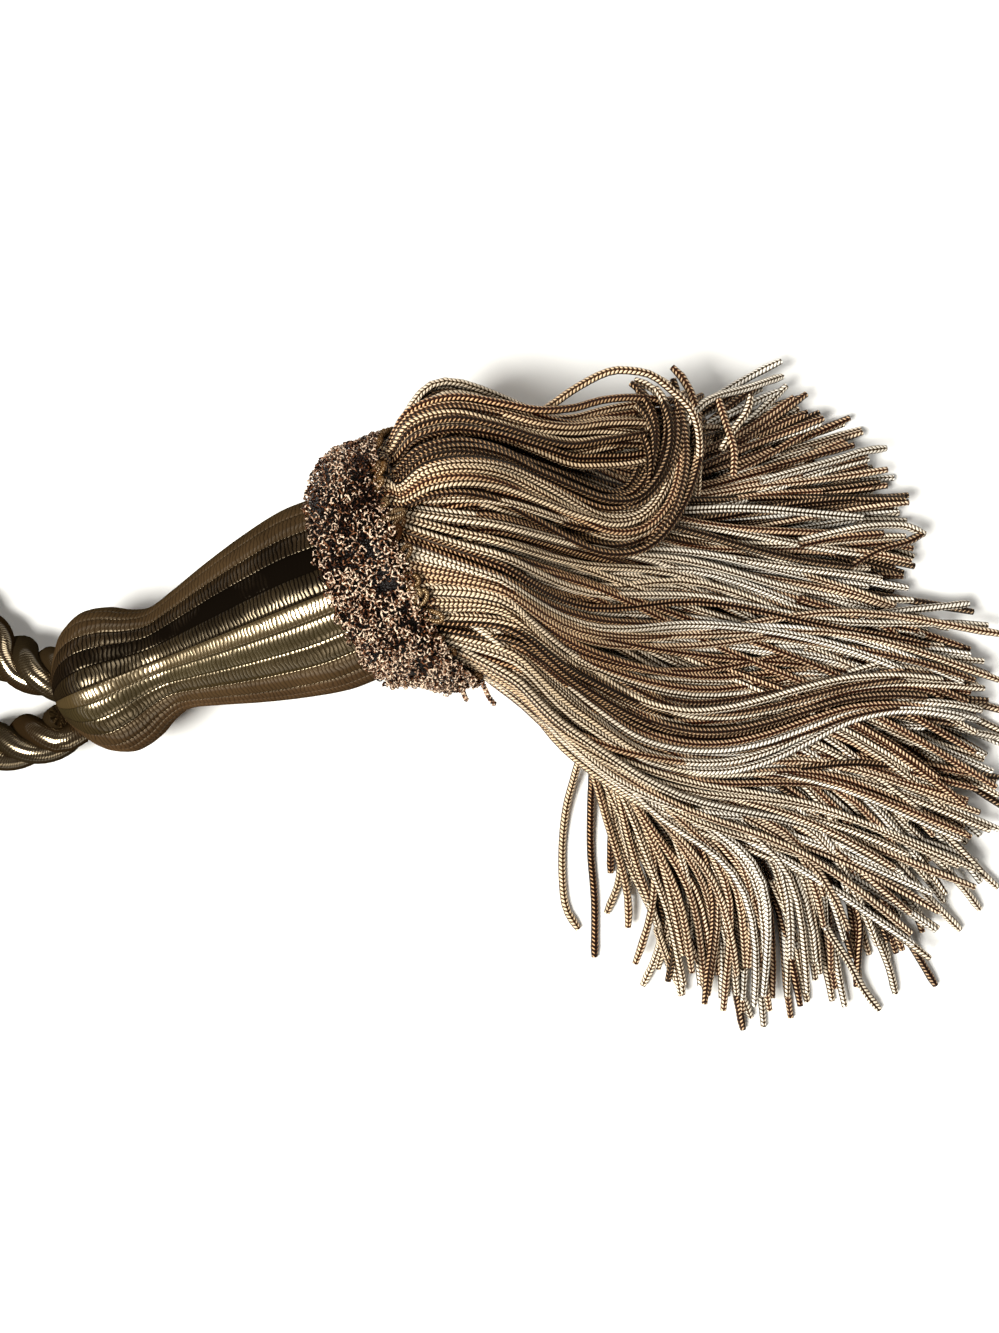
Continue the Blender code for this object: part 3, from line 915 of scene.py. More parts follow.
@dataclass
class Ruff:
    """The collar of looped crinkle gimp over the seam between head and skirt.

    It is ordered curls on the far side, and brushed up with dark holes on top and on the near one.
    """

    rows: int = 10
    first_mm: float = 68.2
    last_mm: float = 87.0
    spacing_mm: float = 2.05
    yarn_mm: float = 0.23
    # the ruff's mean radius
    mean_radius_mm: float = 29.5
    knot_size: float = 0.88
    knot_depth_mm: float = 0.6
    curl_turns: float = 1.2
    curl_steps: int = 17
    # heights that the middle of a knot, a loop and a point of the band keep over the surface
    knot_rest_mm: float = 1.9
    loop_rest_mm: float = 0.6
    band_rest_mm: float = 0.3
    band_sides: int = 96
    rim_loops: int = 64
    # the rim's loops: radius of their cord, where they start along the axis and how far from it, how
    # far they stand out, and the share of places that has one
    rim_mm: float = 0.52
    rim_start_mm: float = 86.2
    rim_radius_mm: float = 29.6
    rim_reach_mm: tuple[float, float] = (2.0, 5.8)
    rim_share: float = 0.7
    # the hanging ends: radius of their yarn, its steps, and the radius and angle in which it coils
    end_mm: float = 0.36
    end_step_mm: float = 0.5
    end_coil_mm: float = 0.45
    end_turn: float = 1.5
    knot_seed: int = 5
    rim_seed: int = 9
    finish: CrinkledGimp = CrinkledGimp()
    rim_finish: WoundSatin = WoundSatin(
        name="gold_rayon_loops",
        colour="#8a6336",
        warm="#c8a676",
        shade_colour="#2a170a",
        thread_mm=0.6,
        slant=2.0,
        relief_mm=0.1,
        groove=0.5,
    )
    # distance along the axis, mean radius, how much less on the near side and more on the far one
    section: tuple[Place, ...] = (
        (67.2, 24.4, 0.6), (70.2, 26.9, 1.8), (73.0, 28.4, 2.2), (77.0, 30.0, 1.6), (80.0, 30.9, 0.5),
        (84.0, 31.3, 0.0), (88.2, 31.0, 0.0),
    )
    # the band under the loops: distance along the axis and depth under the section
    band: tuple[tuple[float, float], ...] = (
        (67.3, 3.0), (67.3, 1.3), (70.0, 1.6), (73.0, 1.8), (77.0, 1.8), (80.0, 1.8), (84.0, 1.8),
        (87.4, 1.8), (87.4, 11.0),
    )
    ends: tuple[tuple[Place, ...], ...] = (
        ((-19.5, 6.5, 21.0), (-17.8, 4.6, 19.5), (-17.2, 2.6, 17.5), (-16.6, 1.2, 16.0)),
        ((-13.6, 7.2, 20.0), (-12.4, 4.6, 18.5), (-11.2, 2.0, 16.5), (-9.8, 0.2, 14.5)),
    )
    # holes where the band's painted shade shows: distance along the axis, angle round it in degrees, radius
    holes: tuple[Place, ...] = (
        (81.3, 82.0, 1.6), (81.7, 98.0, 1.4), (82.5, 111.0, 1.1), (75.5, 106.0, 0.8), (77.0, 124.0, 1.1),
        (84.0, 127.0, 1.2), (80.0, 139.0, 1.3), (76.5, 152.0, 1.0), (83.5, 155.0, 1.2), (79.5, 168.0, 1.0),
    )

    def radius_at(self, distance: float, angle: float) -> float:
        """The ruff's radius at a distance along the axis and an angle round it."""
        keys, means, uneven = zip(*self.section)
        return between_rows(keys, means, distance) + between_rows(keys, uneven, distance) * math.cos(angle)

    def laid(self, point: Vector, least: float) -> Vector:
        """Lift a point that lies too low to rest on the surface."""
        return Vector((point.x, point.y, max(point.z, least)))

    def looseness(self, angle: float) -> float:
        """How far the ruff is brushed up at an angle: 0 on the far side, 1 on the near one."""
        degrees = math.degrees(angle % TURN)
        return clamped((degrees - 70.0) / 25.0) * clamped((250.0 - degrees) / 40.0)

    def clear_of_holes(self, distance: float, angle: float) -> float:
        """How far a place lies from the edge of the nearest hole; it is negative inside one."""
        return min(
            math.hypot(distance - hole, self.mean_radius_mm * (angle - math.radians(degrees))) - size
            for hole, degrees, size in self.holes
        )

    def knot(self) -> Piece:
        """One small curl of crinkled yarn over a dark heart, about its own origin.

        Returns:
            An object with the knot's tubes.
        """
        line = []
        for index in range(self.curl_steps + 1):
            turn = self.curl_turns * TURN * index / self.curl_steps
            reach = 0.92 + 0.26 * math.cos(2.9 * turn)
            height = 0.3 + 0.5 * math.sin(2.6 * turn + 0.6)
            line.append(Vector((reach * math.cos(turn), reach * math.sin(turn), height)))
        # the heart is drawn nearly black: partly the gimp's dark core, partly painted shade between the
        # curls
        heart = [UPRIGHT * height for height in (-1.5, -1.2, -0.4, 0.1, 0.3)]
        girth = [4.8, 6.6, 6.6, 4.0, 1.0]
        maker = CordMaker("ruff_knot", self.yarn_mm, 3, self.finish.build())
        return maker.make([Strand(line, tone=0.12), Strand(heart, tone=-1.0, girth=girth)])

    def knot_tree(self, knot: Piece) -> Tree:
        """Build the tree that sets a knot on every point of the ruff.

        Args:
            knot: The knot that is repeated.

        Returns:
            The tree, with named inputs for the knots' size and the random seed.
        """
        tree, add, given = new_tree("ruff_knots", {"Knot size": "Float", "Seed": "Int"})
        points = add("GeometryNodeMeshToPoints", None, {"Mesh": given})
        source = add("GeometryNodeObjectInfo", {"Object": knot})
        outward = add(NAMED, {"data_type": "FLOAT_VECTOR", "Name": "outward"})
        upright = add("FunctionNodeAlignRotationToVector", {"axis": "Z"}, {"Vector": outward})
        tumble = {"data_type": "FLOAT_VECTOR", "Min": (-0.3, -0.3, 0.0), "Max": (0.3, 0.3, TURN)}
        chance = add("FunctionNodeRandomValue", tumble, {"Seed": given.outputs["Seed"]})
        turns = {"Rotation": upright, "Rotate By": chance}
        tumbled = add("FunctionNodeRotateRotation", {"rotation_space": "LOCAL"}, turns)
        size = add(NAMED, {"data_type": "FLOAT", "Name": "size"})
        scale = add(MATH, TIMES, {0: size, 1: given.outputs["Knot size"]})
        sources = {"Points": points, "Instance": source.outputs["Geometry"]}
        sources |= {"Rotation": tumbled, "Scale": scale}
        end_tree(add, add("GeometryNodeInstanceOnPoints", None, sources), knot.data.materials[0])
        return tree

    def build_knots(self) -> Piece:
        """Cover the ruff with knots in staggered rows, and with loose ones on top where it is brushed up.

        Returns:
            The knots.
        """
        rng = random.Random(self.knot_seed)
        places: list[Vector] = []
        values: dict[str, list[float]] = {"outward": [], "size": [], "shade": []}

        def add(distance: float, angle: float, lift: float, size: float, shade: float) -> None:
            """Note a knot's place."""
            radius = self.radius_at(distance, angle) - self.knot_depth_mm + lift
            places.append(self.laid(AXIS.point(distance, radius, angle), self.knot_rest_mm) * MM)
            values["outward"].extend(AXIS.side(angle))
            values["size"].append(size)
            values["shade"].append(shade)

        for row in range(self.rows):
            distance = blend(self.first_mm, self.last_mm, row / (self.rows - 1))
            count = round(TURN * self.radius_at(distance, 0.25 * TURN) / self.spacing_mm)
            for index in range(count):
                angle = TURN * (index + 0.5 * (row % 2) + rng.uniform(-0.1, 0.1)) / count
                loose = self.looseness(angle)
                away = self.clear_of_holes(distance, angle)
                if away < 0.0:
                    continue
                lump = noise.noise(Vector((0.16 * distance, 5.2 * angle, 2.0)))
                # the edge on the head is slightly scalloped
                scallop = -0.9 * (0.5 + 0.5 * math.sin(31.0 * angle)) if row == 0 else 0.0
                lift = rng.uniform(-0.15, 0.2) + loose * (0.5 + 1.6 * lump) * min(1.0, away / 1.5)
                # painted shade: darker in the low patches of the lump noise, where brushed-up knots sit
                # low, lighter in the high ones; a little darker on the near side; and a random tone
                shade = 0.3 * lump - 0.05 - 0.04 * loose + rng.uniform(-0.12, 0.08)
                shift = scallop + rng.uniform(-0.2, 0.2) * (1.0 + 2.0 * loose)
                add(distance + shift, angle, lift, self.knot_size + rng.uniform(-0.1, 0.1), shade)
                # where it is brushed up, a looser knot stands on this one, drawn a little lighter as
                # painted light on the top layer
                if rng.random() < 0.85 * loose and away > 0.6:
                    around = angle + rng.uniform(-1.2, 1.2) / 30.0
                    add(distance + rng.uniform(-1.2, 1.2), around, lift + rng.uniform(0.3, 0.9), 0.85, 0.1)
        piece = add_piece("ruff_loops", places, values=values)
        knot = self.knot()
        made_plain(piece, self.knot_tree(knot), {"Knot size": 1.0, "Seed": 3})
        bpy.data.objects.remove(knot, do_unlink=True)
        return finished(piece, Slot.RUFF, "ruff")

    def build_band(self, material: Material) -> Piece:
        """Build the woven band under the loops.

        Args:
            material: The crinkled gimp.

        Returns:
            The band.
        """
        count = self.band_sides
        points = []
        faces = []
        for row, (distance, depth) in enumerate(self.band):
            for index in range(count):
                angle = TURN * index / count
                point = AXIS.point(distance, self.radius_at(distance, angle) - depth, angle)
                points.append(self.laid(point, self.band_rest_mm) * MM)
                if row:
                    here = row * count + index
                    after = row * count + (index + 1) % count
                    faces.append((after - count, here - count, here, after))
        # the band is drawn nearly black: painted shade where it shows in the holes and between the knots
        band = add_piece("ruff_band", points, faces=faces, values={"tone": [-0.7] * len(points)})
        band.data.shade_smooth()
        band.data.materials.append(material)
        return finished(band, Slot.RUFF)

    def rim_loop(self, angle: float, reach: float, lean: float, rng: random.Random) -> Strand:
        """One longer loop of the ruff's front edge, twisted once over itself.

        Args:
            angle: Where the loop stands round the axis.
            reach: How far it stands out, in millimetres.
            lean: Its turn away from the axis's direction.
            rng: Source of small differences.

        Returns:
            The loop's line.
        """
        outward = AXIS.side(angle)
        around = AXIS.side(angle + 0.25 * TURN)
        ahead = (AXIS.along + around * lean + outward * rng.uniform(-0.1, 0.35)).normalized()
        across = ahead.cross(outward).normalized()
        base = AXIS.point(self.rim_start_mm, self.rim_radius_mm, angle)
        line = []
        count = 16
        for index in range(count + 1):
            bend = 1.15 * math.pi * index / count - 0.075 * math.pi
            wide = 1.25 * math.cos(bend) * (0.4 + 0.9 * math.sin(bend))
            out = reach * math.sin(bend)
            lift = 0.9 * math.sin(bend) + 0.5 * math.cos(bend)
            line.append(self.laid(base + across * wide + ahead * out + outward * lift, self.loop_rest_mm))
        return Strand(line, tone=rng.uniform(-0.25, 0.1), roll=rng.random())

    def build_rim(self) -> Piece:
        """Build the smooth golden loops along the front edge.

        Returns:
            The rim's loops.
        """
        rng = random.Random(self.rim_seed)
        strands = []
        for index in range(self.rim_loops):
            angle = TURN * (index + rng.uniform(-0.45, 0.45)) / self.rim_loops
            if rng.random() < self.rim_share:
                reach = rng.uniform(*self.rim_reach_mm)
                strands.append(self.rim_loop(angle, reach, rng.uniform(-1.2, 1.2), rng))
        maker = CordMaker("ruff_rim", self.rim_mm, 6, self.rim_finish.build())
        return finished(maker.make(strands), Slot.RUFF)

    def build_ends(self, material: Material) -> Piece:
        """Build the two short ends of looped gimp that hang from the near side.

        Args:
            material: The crinkled gimp.

        Returns:
            The ends.
        """
        strands = []
        for places in self.ends:
            line = even_line(places, self.end_step_mm)
            for turn in (0.0, math.pi):
                coiled = []
                for index, (point, run) in enumerate(zip(line, runs_along(line))):
                    side = run.cross(UPRIGHT).normalized()
                    angle = turn + self.end_turn * index
                    away = side * math.cos(angle) + UPRIGHT * math.sin(angle)
                    coiled.append(point + away * self.end_coil_mm)
                strands.append(Strand(coiled, tone=0.1))
        maker = CordMaker("ruff_ends", self.end_mm, 5, material)
        return finished(maker.make(strands), Slot.RUFF)

    def build(self) -> list[Piece]:
        """Build the whole ruff.

        Returns:
            Its pieces.
        """
        knots = self.build_knots()
        material = knots.data.materials[0]
        return [knots, self.build_band(material), self.build_rim(), self.build_ends(material)]


@dataclass
class Plan:
    """Where a layer's cords go, seen from above.

    Each row has a key, then the places of its cord at the plan's stations after the ring.
    """

    rows: tuple[tuple[Any, ...], ...]
    root: Callable[[float], float]
    ring_mm: float
    stations: tuple[float, ...] = (0.0, 0.2, 0.4, 0.6, 0.8, 1.0)
    keys: list[float] = field(init=False)
    lines: list[list[Vector]] = field(init=False)

    def __post_init__(self) -> None:
        """Prepare each row's line from its root on the ring."""
        ring = AXIS.point(AXIS.ring_mm, 0.0, 0.0)
        self.keys = [row[0] for row in self.rows]
        self.lines = []
        for key, *places in self.rows:
            root = ring + AXIS.across * self.ring_mm * self.root(key)
            self.lines.append([root.to_2d()] + [Vector(place) for place in places])

    def point(self, key: float, station: float) -> Vector:
        """The place, seen from above, of the cord with a key at a station."""
        guides = [between_rows(self.stations, line, station) for line in self.lines]
        return between_rows(self.keys, guides, key)


@dataclass
class Skirt:
    """The skirt's knitted cords: nested rows from the ring, a curled lock and loose ends.

    The rows' upper cords sweep to the right over those below them, which fan out to all sides.
    """

    cord_mm: float = 1.9
    sides: int = 8
    step_mm: float = 2.4
    over_levels: tuple[float, ...] = (0.0, 0.45, 0.9)
    row_levels: tuple[float, ...] = (0.0, 0.5, 1.0, 1.5, 2.0, 2.5)
    ring_mm: float = 27.6
    ring_step_mm: float = 3.5
    layer_mm: float = 2.0
    # places on the axis where a row's cord starts and passes before the ring
    start_mm: tuple[float, float] = (80.0, 84.0)
    row_steps: int = 26
    # how a cord strays: its own sway, its turn aside at the tip and that of the wilder ones, and
    # how far it lies over its even lie
    sway_mm: tuple[float, float] = (0.3, 1.7)
    splay_mm: float = 4.2
    wild_splay_mm: float = 11.0
    wild_share: float = 0.22
    most_splay_mm: float = 13.0
    lift_mm: tuple[float, float] = (-0.6, 0.9)
    clearance_mm: float = 0.2
    column_share: float = 0.8
    loose_seed: int = 21
    # tones of the light cords and of the dark and copper ones
    light_tones: tuple[float, ...] = (0.0, 0.08, 0.15, 0.25, 0.42)
    dark_tones: tuple[float, ...] = (0.6, 0.72, 0.82, 1.0)
    # the share of dark cords up to each place in a row: bands as in the photograph
    bands: tuple[tuple[float, float], ...] = (
        (0.1, 0.5), (0.16, 0.4), (0.175, 0.1), (0.228, 0.9), (0.33, 0.1), (0.352, 0.6), (0.5, 0.12),
        (1.0, 0.27),
    )
    curl_tones: tuple[float, ...] = (0.95, 0.25, 0.62, 0.3, 0.2, 0.95, 1.0, 1.0, 0.95)
    straight_tones: tuple[float, ...] = (0.9, 0.35, 0.95, 0.3, 0.95, 0.4, 0.7)
    stream_tones: tuple[float, ...] = (0.05, 0.1, 0.0, 0.9, 0.7, 0.95, 0.72, 0.2, 0.9, 0.7)
    finish: KnittedChainette = KnittedChainette()
    # place across the ring, from the far edge (0) to the near edge (1), then places from above
    under_rows: tuple[tuple[Any, ...], ...] = (
        (0.0, (-23, 76), (0, 69), (24, 61), (43, 71), (62, 81)),
        (0.125, (-18, 66), (5, 60), (30, 51), (56, 57), (86, 64)),
        (0.25, (-14, 56), (8, 50), (35, 43), (65, 42), (98, 39)),
        (0.31, (-12, 51), (9, 46), (37, 38), (67, 33), (94, 26)),
        (0.375, (-11, 46), (10, 41), (38, 33), (72, 23), (106, 11)),
        (0.5, (-9, 37), (12, 31), (39, 19), (75, 4), (117, -18)),
        (0.625, (-8, 28), (12, 21), (40, 4), (79, -17), (110, -47)),
        (0.75, (-6, 19), (13, 9), (38, -11), (70, -34), (82, -74)),
        (0.875, (-4, 11), (12, 0), (31, -21), (50, -43), (54, -80)),
        (1.0, (-4, 2), (8, -7), (19, -26), (26, -47), (29, -68)),
    )
    # share of the row's outline, from the far edge (0) over the top to the near edge (0.5)
    over_rows: tuple[tuple[Any, ...], ...] = (
        (0.03, (-20, 72), (2, 66), (26, 57), (46, 62), (66, 80)),
        (0.1, (-17, 62), (4, 57), (29, 49), (55, 53), (86, 63)),
        (0.167, (-12, 46), (10, 41), (37, 36), (66, 28), (96, 24)),
        (0.206, (-9, 33), (10, 27), (39, 27), (75, 15), (110, 5)),
        (0.28, (-8, 26), (11, 14), (38, 8), (74, 9), (113, 0)),
        (0.346, (-6, 17), (11, 3), (37, -8), (70, -3), (113, -6)),
        (0.371, (-5, 12), (10, -1), (36, -14), (72, -16), (113, -31)),
        (0.397, (-4, 7), (10, -6), (35, -17), (70, -24), (110, -43)),
        (0.47, (-4, 2), (9, -10), (33, -22), (67, -35), (103, -57)),
    )
    # station, half width, height of the middle, half height, upper and lower squareness, row
    # step in height, row step at the edges
    section: tuple[tuple[float, ...], ...] = (
        (0.0, 27.6, 32.9, 27.1, 2.0, 2.0, 3.5, 3.5), (0.2, 37.0, 29.8, 28.6, 2.1, 2.8, 3.3, 4.4),
        (0.4, 40.0, 20.8, 19.6, 2.4, 4.0, 2.9, 4.5), (0.6, 52.0, 12.8, 11.7, 2.8, 5.0, 2.4, 4.4),
        (0.8, 80.0, 7.6, 6.4, 4.0, 7.0, 1.9, 4.2), (1.0, 121.0, 5.0, 3.9, 6.0, 9.0, 1.6, 4.2),
    )
    # the lock's lower part, from its lower edge; it curls up at its end
    curl_guides: tuple[tuple[Place, ...], ...] = (
        (
            (-29.7, 44.4, 59.5), (-24.0, 46.5, 61.0), (-16.9, 47.5, 60.0), (-8.6, 46.7, 55.5),
            (0.4, 43.5, 48.5), (9.7, 39.8, 42.5), (17.7, 37.8, 38.5), (24.4, 39.1, 36.0),
            (29.2, 43.6, 34.0), (33.1, 50.8, 32.0), (35.3, 59.1, 30.5), (35.6, 67.5, 29.5),
            (34.0, 73.2, 29.0), (31.0, 77.0, 28.5),
        ),
        (
            (-31.2, 49.1, 56.0), (-25.3, 53.2, 59.5), (-17.4, 54.9, 58.5), (-8.6, 54.2, 54.5),
            (0.5, 50.7, 48.0), (9.7, 47.2, 42.0), (16.8, 45.4, 38.5), (23.0, 46.5, 36.0),
            (27.3, 50.6, 34.0), (30.3, 57.4, 32.5), (31.1, 63.6, 31.5), (30.0, 69.5, 30.5),
            (26.5, 74.5, 29.5), (20.0, 77.0, 28.5),
        ),
        (
            (-32.3, 53.2, 51.5), (-26.8, 58.2, 55.5), (-18.3, 60.2, 55.0), (-9.1, 58.6, 52.0),
            (-0.3, 54.6, 47.5), (8.3, 51.3, 42.0), (15.5, 49.6, 39.0), (21.9, 50.4, 36.5),
            (25.6, 54.5, 35.0), (27.6, 60.4, 34.0), (27.6, 66.0, 33.0), (25.8, 70.6, 31.5),
            (22.4, 74.0, 30.0), (16.0, 75.6, 28.5),
        ),
    )
    # the lock's upper part, which runs straight and ends under the curl
    straight_guides: tuple[tuple[Place, ...], ...] = (
        (
            (-32.7, 54.6, 50.0), (-27.3, 60.0, 54.0), (-18.6, 62.0, 53.5), (-9.3, 60.3, 50.5),
            (-0.6, 57.5, 45.5), (7.9, 55.5, 40.5), (15.0, 56.5, 36.5), (22.0, 58.0, 33.0),
            (28.0, 60.0, 30.0), (34.0, 62.0, 26.5), (40.0, 64.0, 22.5),
        ),
        (
            (-34.3, 60.6, 41.0), (-29.5, 68.0, 45.5), (-19.9, 71.3, 46.0), (-8.6, 70.2, 44.5),
            (0.6, 68.5, 41.5), (8.7, 68.5, 37.5), (16.0, 70.0, 33.5), (23.0, 70.5, 30.0),
            (30.0, 70.0, 26.5), (36.0, 70.5, 22.5), (44.0, 74.0, 17.0),
        ),
    )
    # a band of cords over the near side, first down and then up again to the right
    stream_guides: tuple[tuple[Place, ...], ...] = (
        (
            (-18.7, 20.4, 55.5), (-12.0, 16.3, 54.0), (-5.2, 11.0, 49.5), (2.9, 4.2, 42.5),
            (12.4, -4.0, 34.5), (23.3, -11.7, 28.5), (34.2, -14.6, 25.0), (45.3, -14.6, 22.0),
            (55.1, -12.3, 20.0), (65.0, -8.0, 18.0), (76.2, -3.0, 15.5), (88.7, -0.6, 13.5),
            (101.4, -1.4, 11.0), (112.0, -3.7, 8.0),
        ),
        (
            (-20.7, 29.7, 58.5), (-13.0, 26.9, 57.0), (-4.1, 23.1, 51.5), (5.1, 17.4, 44.5),
            (14.6, 11.0, 37.0), (25.4, 4.5, 31.0), (36.4, 1.1, 27.0), (46.2, 0.8, 23.5), (55.6, 2.2, 21.0),
            (65.5, 4.3, 19.0), (76.4, 6.2, 17.0), (88.9, 7.0, 15.0), (101.2, 6.2, 12.0), (110.5, 5.4, 9.0),
        ),
    )
    # single cords that lie away from the rest: tone, then places
    loose_ends: tuple[tuple[float, tuple[Place, ...]], ...] = (
        (
            0.35,
            (
                (-2, 67, 40), (2, 69, 38), (9, 74, 36.5), (17, 78, 36), (23, 78, 36), (27, 77, 35.5),
                (31, 74, 35), (36, 69, 34.5), (38, 63, 32), (38, 56, 30), (38, 50, 27),
            ),
        ),
        (
            0.1,
            (
                (28, 56, 30), (33, 63, 30), (37, 69, 30), (40, 72, 28), (44, 74, 25), (50, 76, 21),
                (60, 80, 14),
            ),
        ),
        (
            0.95,
            ((26, 38, 33), (31, 44, 34.5), (34, 52, 33.5), (35, 60, 32.5), (34, 68, 31.5), (32, 77, 31)),
        ),
        (0.6, ((47, 55, 24), (47, 61, 25), (45, 67, 26), (43, 73, 27))),
        (0.3, ((44, 61, 25), (47, 66, 25), (50, 70, 25), (51, 74, 25))),
        (0.1, ((54, 54, 20), (64, 57, 17), (74, 60, 14), (80, 62, 12), (86, 63, 10))),
        (0.15, ((64, 40, 15), (77, 43, 13), (84, 44, 11), (91, 44, 9), (96, 42, 8))),
        (0.9, ((74, 32, 12), (84, 38, 10.5), (91, 40, 9.5), (95, 42, 9))),
        (0.8, ((64, 39, 15), (74, 41, 13), (85, 42, 12))),
        (0.05, ((72, 16, 14), (79, 21, 13), (89, 23, 11), (98, 24, 9), (107, 25, 7))),
        (0.2, ((74, 23, 14), (84, 22, 12), (93, 22, 10), (98, 20, 8), (102, 19, 7))),
        (0.7, ((64, 26, 16), (74, 23, 14), (84, 20, 12), (91, 15, 10), (96, 11, 8))),
        (0.15, ((76, 8, 14), (87, 11, 12), (94, 12, 10), (102, 13, 8))),
        (0.3, ((84, 10, 13), (92, 9, 11), (101, 7, 9), (109, 5, 7))),
        (
            0.25,
            (
                (3, -2, 20), (7, -7, 14), (11, -11, 9), (10, -17, 5), (8, -25, 2.5), (7, -34, 1.2),
                (7, -44, 1.2), (8, -51, 1.2), (11, -56, 1.2),
            ),
        ),
        (
            0.9,
            (
                (9, -7, 18), (12, -11, 12), (14, -16, 7), (14, -24, 3), (14, -36, 1.3), (15, -49, 1.2),
                (15, -63, 1.2),
            ),
        ),
        (0.85, ((15, -14, 14), (17, -21, 8), (19, -27, 5), (19, -35, 2), (19, -42, 1.3))),
        (0.3, ((17, -16, 13), (19, -26, 8), (21, -36, 4), (21, -44, 2), (18, -52, 1.3))),
        (0.1, ((19, -18, 13), (22, -31, 8), (24, -40, 4), (23, -48, 1.5))),
        (0.8, ((40, -33, 14), (44, -45, 10), (48, -59, 6), (50, -71, 3), (52, -81, 1.5))),
        (0.2, ((38, -30, 14), (42, -40, 11), (46, -53, 8), (50, -67, 4), (54, -78, 1.5))),
        (0.25, ((65, -35, 12), (71, -53, 8), (78, -64, 5), (82, -71, 3), (86, -76, 1.5))),
        (0.9, ((77, -31, 10), (88, -51, 6), (95, -62, 3), (100, -70, 1.5))),
        (0.2, ((75, -38, 10), (84, -56, 5), (88, -65, 3), (90, -72, 1.5))),
        (0.3, ((58, -43, 10), (64, -56, 6), (66, -65, 3), (68, -74, 1.5))),
        (0.75, ((76, -43, 10), (80, -53, 7), (80, -62, 5), (80, -70, 3))),
        (0.95, ((64, -15, 16), (77, -14, 13.5), (89, -15, 10), (102, -16, 7), (115, -18, 4))),
        (0.2, ((97, -36, 7), (106, -45, 4), (111, -51, 1.5))),
        (0.15, ((28, -48, 9), (31, -57, 6), (30, -63, 3), (27, -70, 1.5))),
        (0.3, ((30, -55, 8), (33, -63, 4), (36, -70, 1.5))),
        (0.2, ((87, -36, 9), (97, -47, 5), (106, -56, 2))),
        (0.1, ((97, -2, 10), (106, -6, 6), (115, -8, 3))),
    )
    under: Plan = field(init=False)
    over: Plan = field(init=False)

    def __post_init__(self) -> None:
        """Prepare the two plans."""
        self.under = Plan(self.under_rows, lambda key: 1.0 - 2.0 * key, self.ring_mm)
        self.over = Plan(self.over_rows, lambda key: math.cos(TURN * key), self.ring_mm)

    def section_at(self, station: float) -> list[float]:
        """The section's values at a station between the ring (0) and the tips (1)."""
        keys, *columns = zip(*self.section)
        return [between_rows(keys, column, station) for column in columns]

    def on_outline(self, level: float, share: float, section: list[float]) -> tuple[float, float]:
        """A cord's place on its row's closed outline.

        Args:
            level: How far in the cord's row lies.
            share: The cord's share of the outline, from the far edge over the top.
            section: The section's values at the station.

        Returns:
            The place across, from -1 at the far edge to 1, and the height in millimetres.
        """
        half_width, middle, half_height, upper, lower, step, edge_step = section
        wide = half_width - level * edge_step
        high = half_height - level * step
        outline = []
        count = 120
        for index in range(count + 1):
            angle = math.pi - TURN * index / count
            power = 2.0 / (upper if math.sin(angle) >= 0.0 else lower)
            across = math.copysign(abs(math.cos(angle)) ** power, math.cos(angle))
            height = math.copysign(abs(math.sin(angle)) ** power, math.sin(angle))
            outline.append((across * wide, middle + height * high))
        spans = [math.dist(before, after) for before, after in zip(outline, outline[1:])]
        left = (share % 1.0) * sum(spans)
        index = 0
        while index < len(spans) - 1 and left > spans[index]:
            left -= spans[index]
            index += 1
        part = min(1.0, left / max(spans[index], 1e-9))
        across = blend(outline[index][0], outline[index + 1][0], part)
        return across / half_width, blend(outline[index][1], outline[index + 1][1], part)

    def place(self, level: float, share: float, station: float, over: bool) -> Vector:
        """The middle of a cord at a station.

        Args:
            level: How far in the cord's row lies.
            share: The cord's share of its row's outline.
            station: Place along the skirt.
            over: Whether the cord belongs to the upper ones that sweep to the right.

        Returns:
            The place in millimetres.
        """
        section = self.section_at(station)
        across, height = self.on_outline(level, share, section)
        plan = self.over.point(share, station) if over else self.under.point(0.5 * (across + 1.0), station)
        # near the ring a row leans back as far as the ring does
        lean = max(0.0, 1.0 - station / 0.2) * math.tan(AXIS.tilt) * (height - section[1])
        heading = Vector((math.cos(AXIS.heading), math.sin(AXIS.heading)))
        return (plan - heading * lean).to_3d() + UPRIGHT * height

    def strayed(self, line: list[Vector], key: float, freedom: float, rng: random.Random) -> list[Vector]:
        """Let a cord wander, with its neighbours and on its own, more and more towards its tip.

        Args:
            line: The cord's even lie.
            key: Place among its neighbours, one for each bunch of cords.
            freedom: How loosely the cord lies.
            rng: Source of the cord's own lie.

        Returns:
            The cord's lie, clear of the surface.
        """
        phase = rng.uniform(0.0, TURN)
        waves = rng.uniform(1.0, 2.2)
        sway = rng.uniform(*self.sway_mm)
        splay = rng.gauss(0.0, self.splay_mm)
        splay += rng.gauss(0.0, self.wild_splay_mm) if rng.random() < self.wild_share else 0.0
        splay = clamped(splay, -self.most_splay_mm, self.most_splay_mm)
        lift = rng.uniform(*self.lift_mm)
        lowest = 0.5 * self.cord_mm + self.clearance_mm
        strayed = []
        for index, (point, run) in enumerate(zip(line, runs_along(line))):
            share = index / (len(line) - 1)
            loose = freedom * clamped((share - 0.1) / 0.5)
            side = run.cross(UPRIGHT).normalized()
            bunch = 6.5 * noise.noise(Vector((key, 0.3, 2.0 * share))) * (0.5 + share)
            heave = 3.2 * noise.noise(Vector((1.3 * key, 7.7, 2.6 * share)))
            swing = sway * math.sin(phase + TURN * waves * share) + bunch + splay * share**3
            moved = point + (side * swing + UPRIGHT * (lift + heave)) * loose
            moved.z = max(moved.z, lowest)
            strayed.append(moved)
        return strayed

    def turned(self, rng: random.Random) -> float:
        """How far a cord is turned about itself; at a half, a column of stitches lies on top."""
        return 0.5 + rng.uniform(-0.14, 0.14) if rng.random() < self.column_share else rng.random()

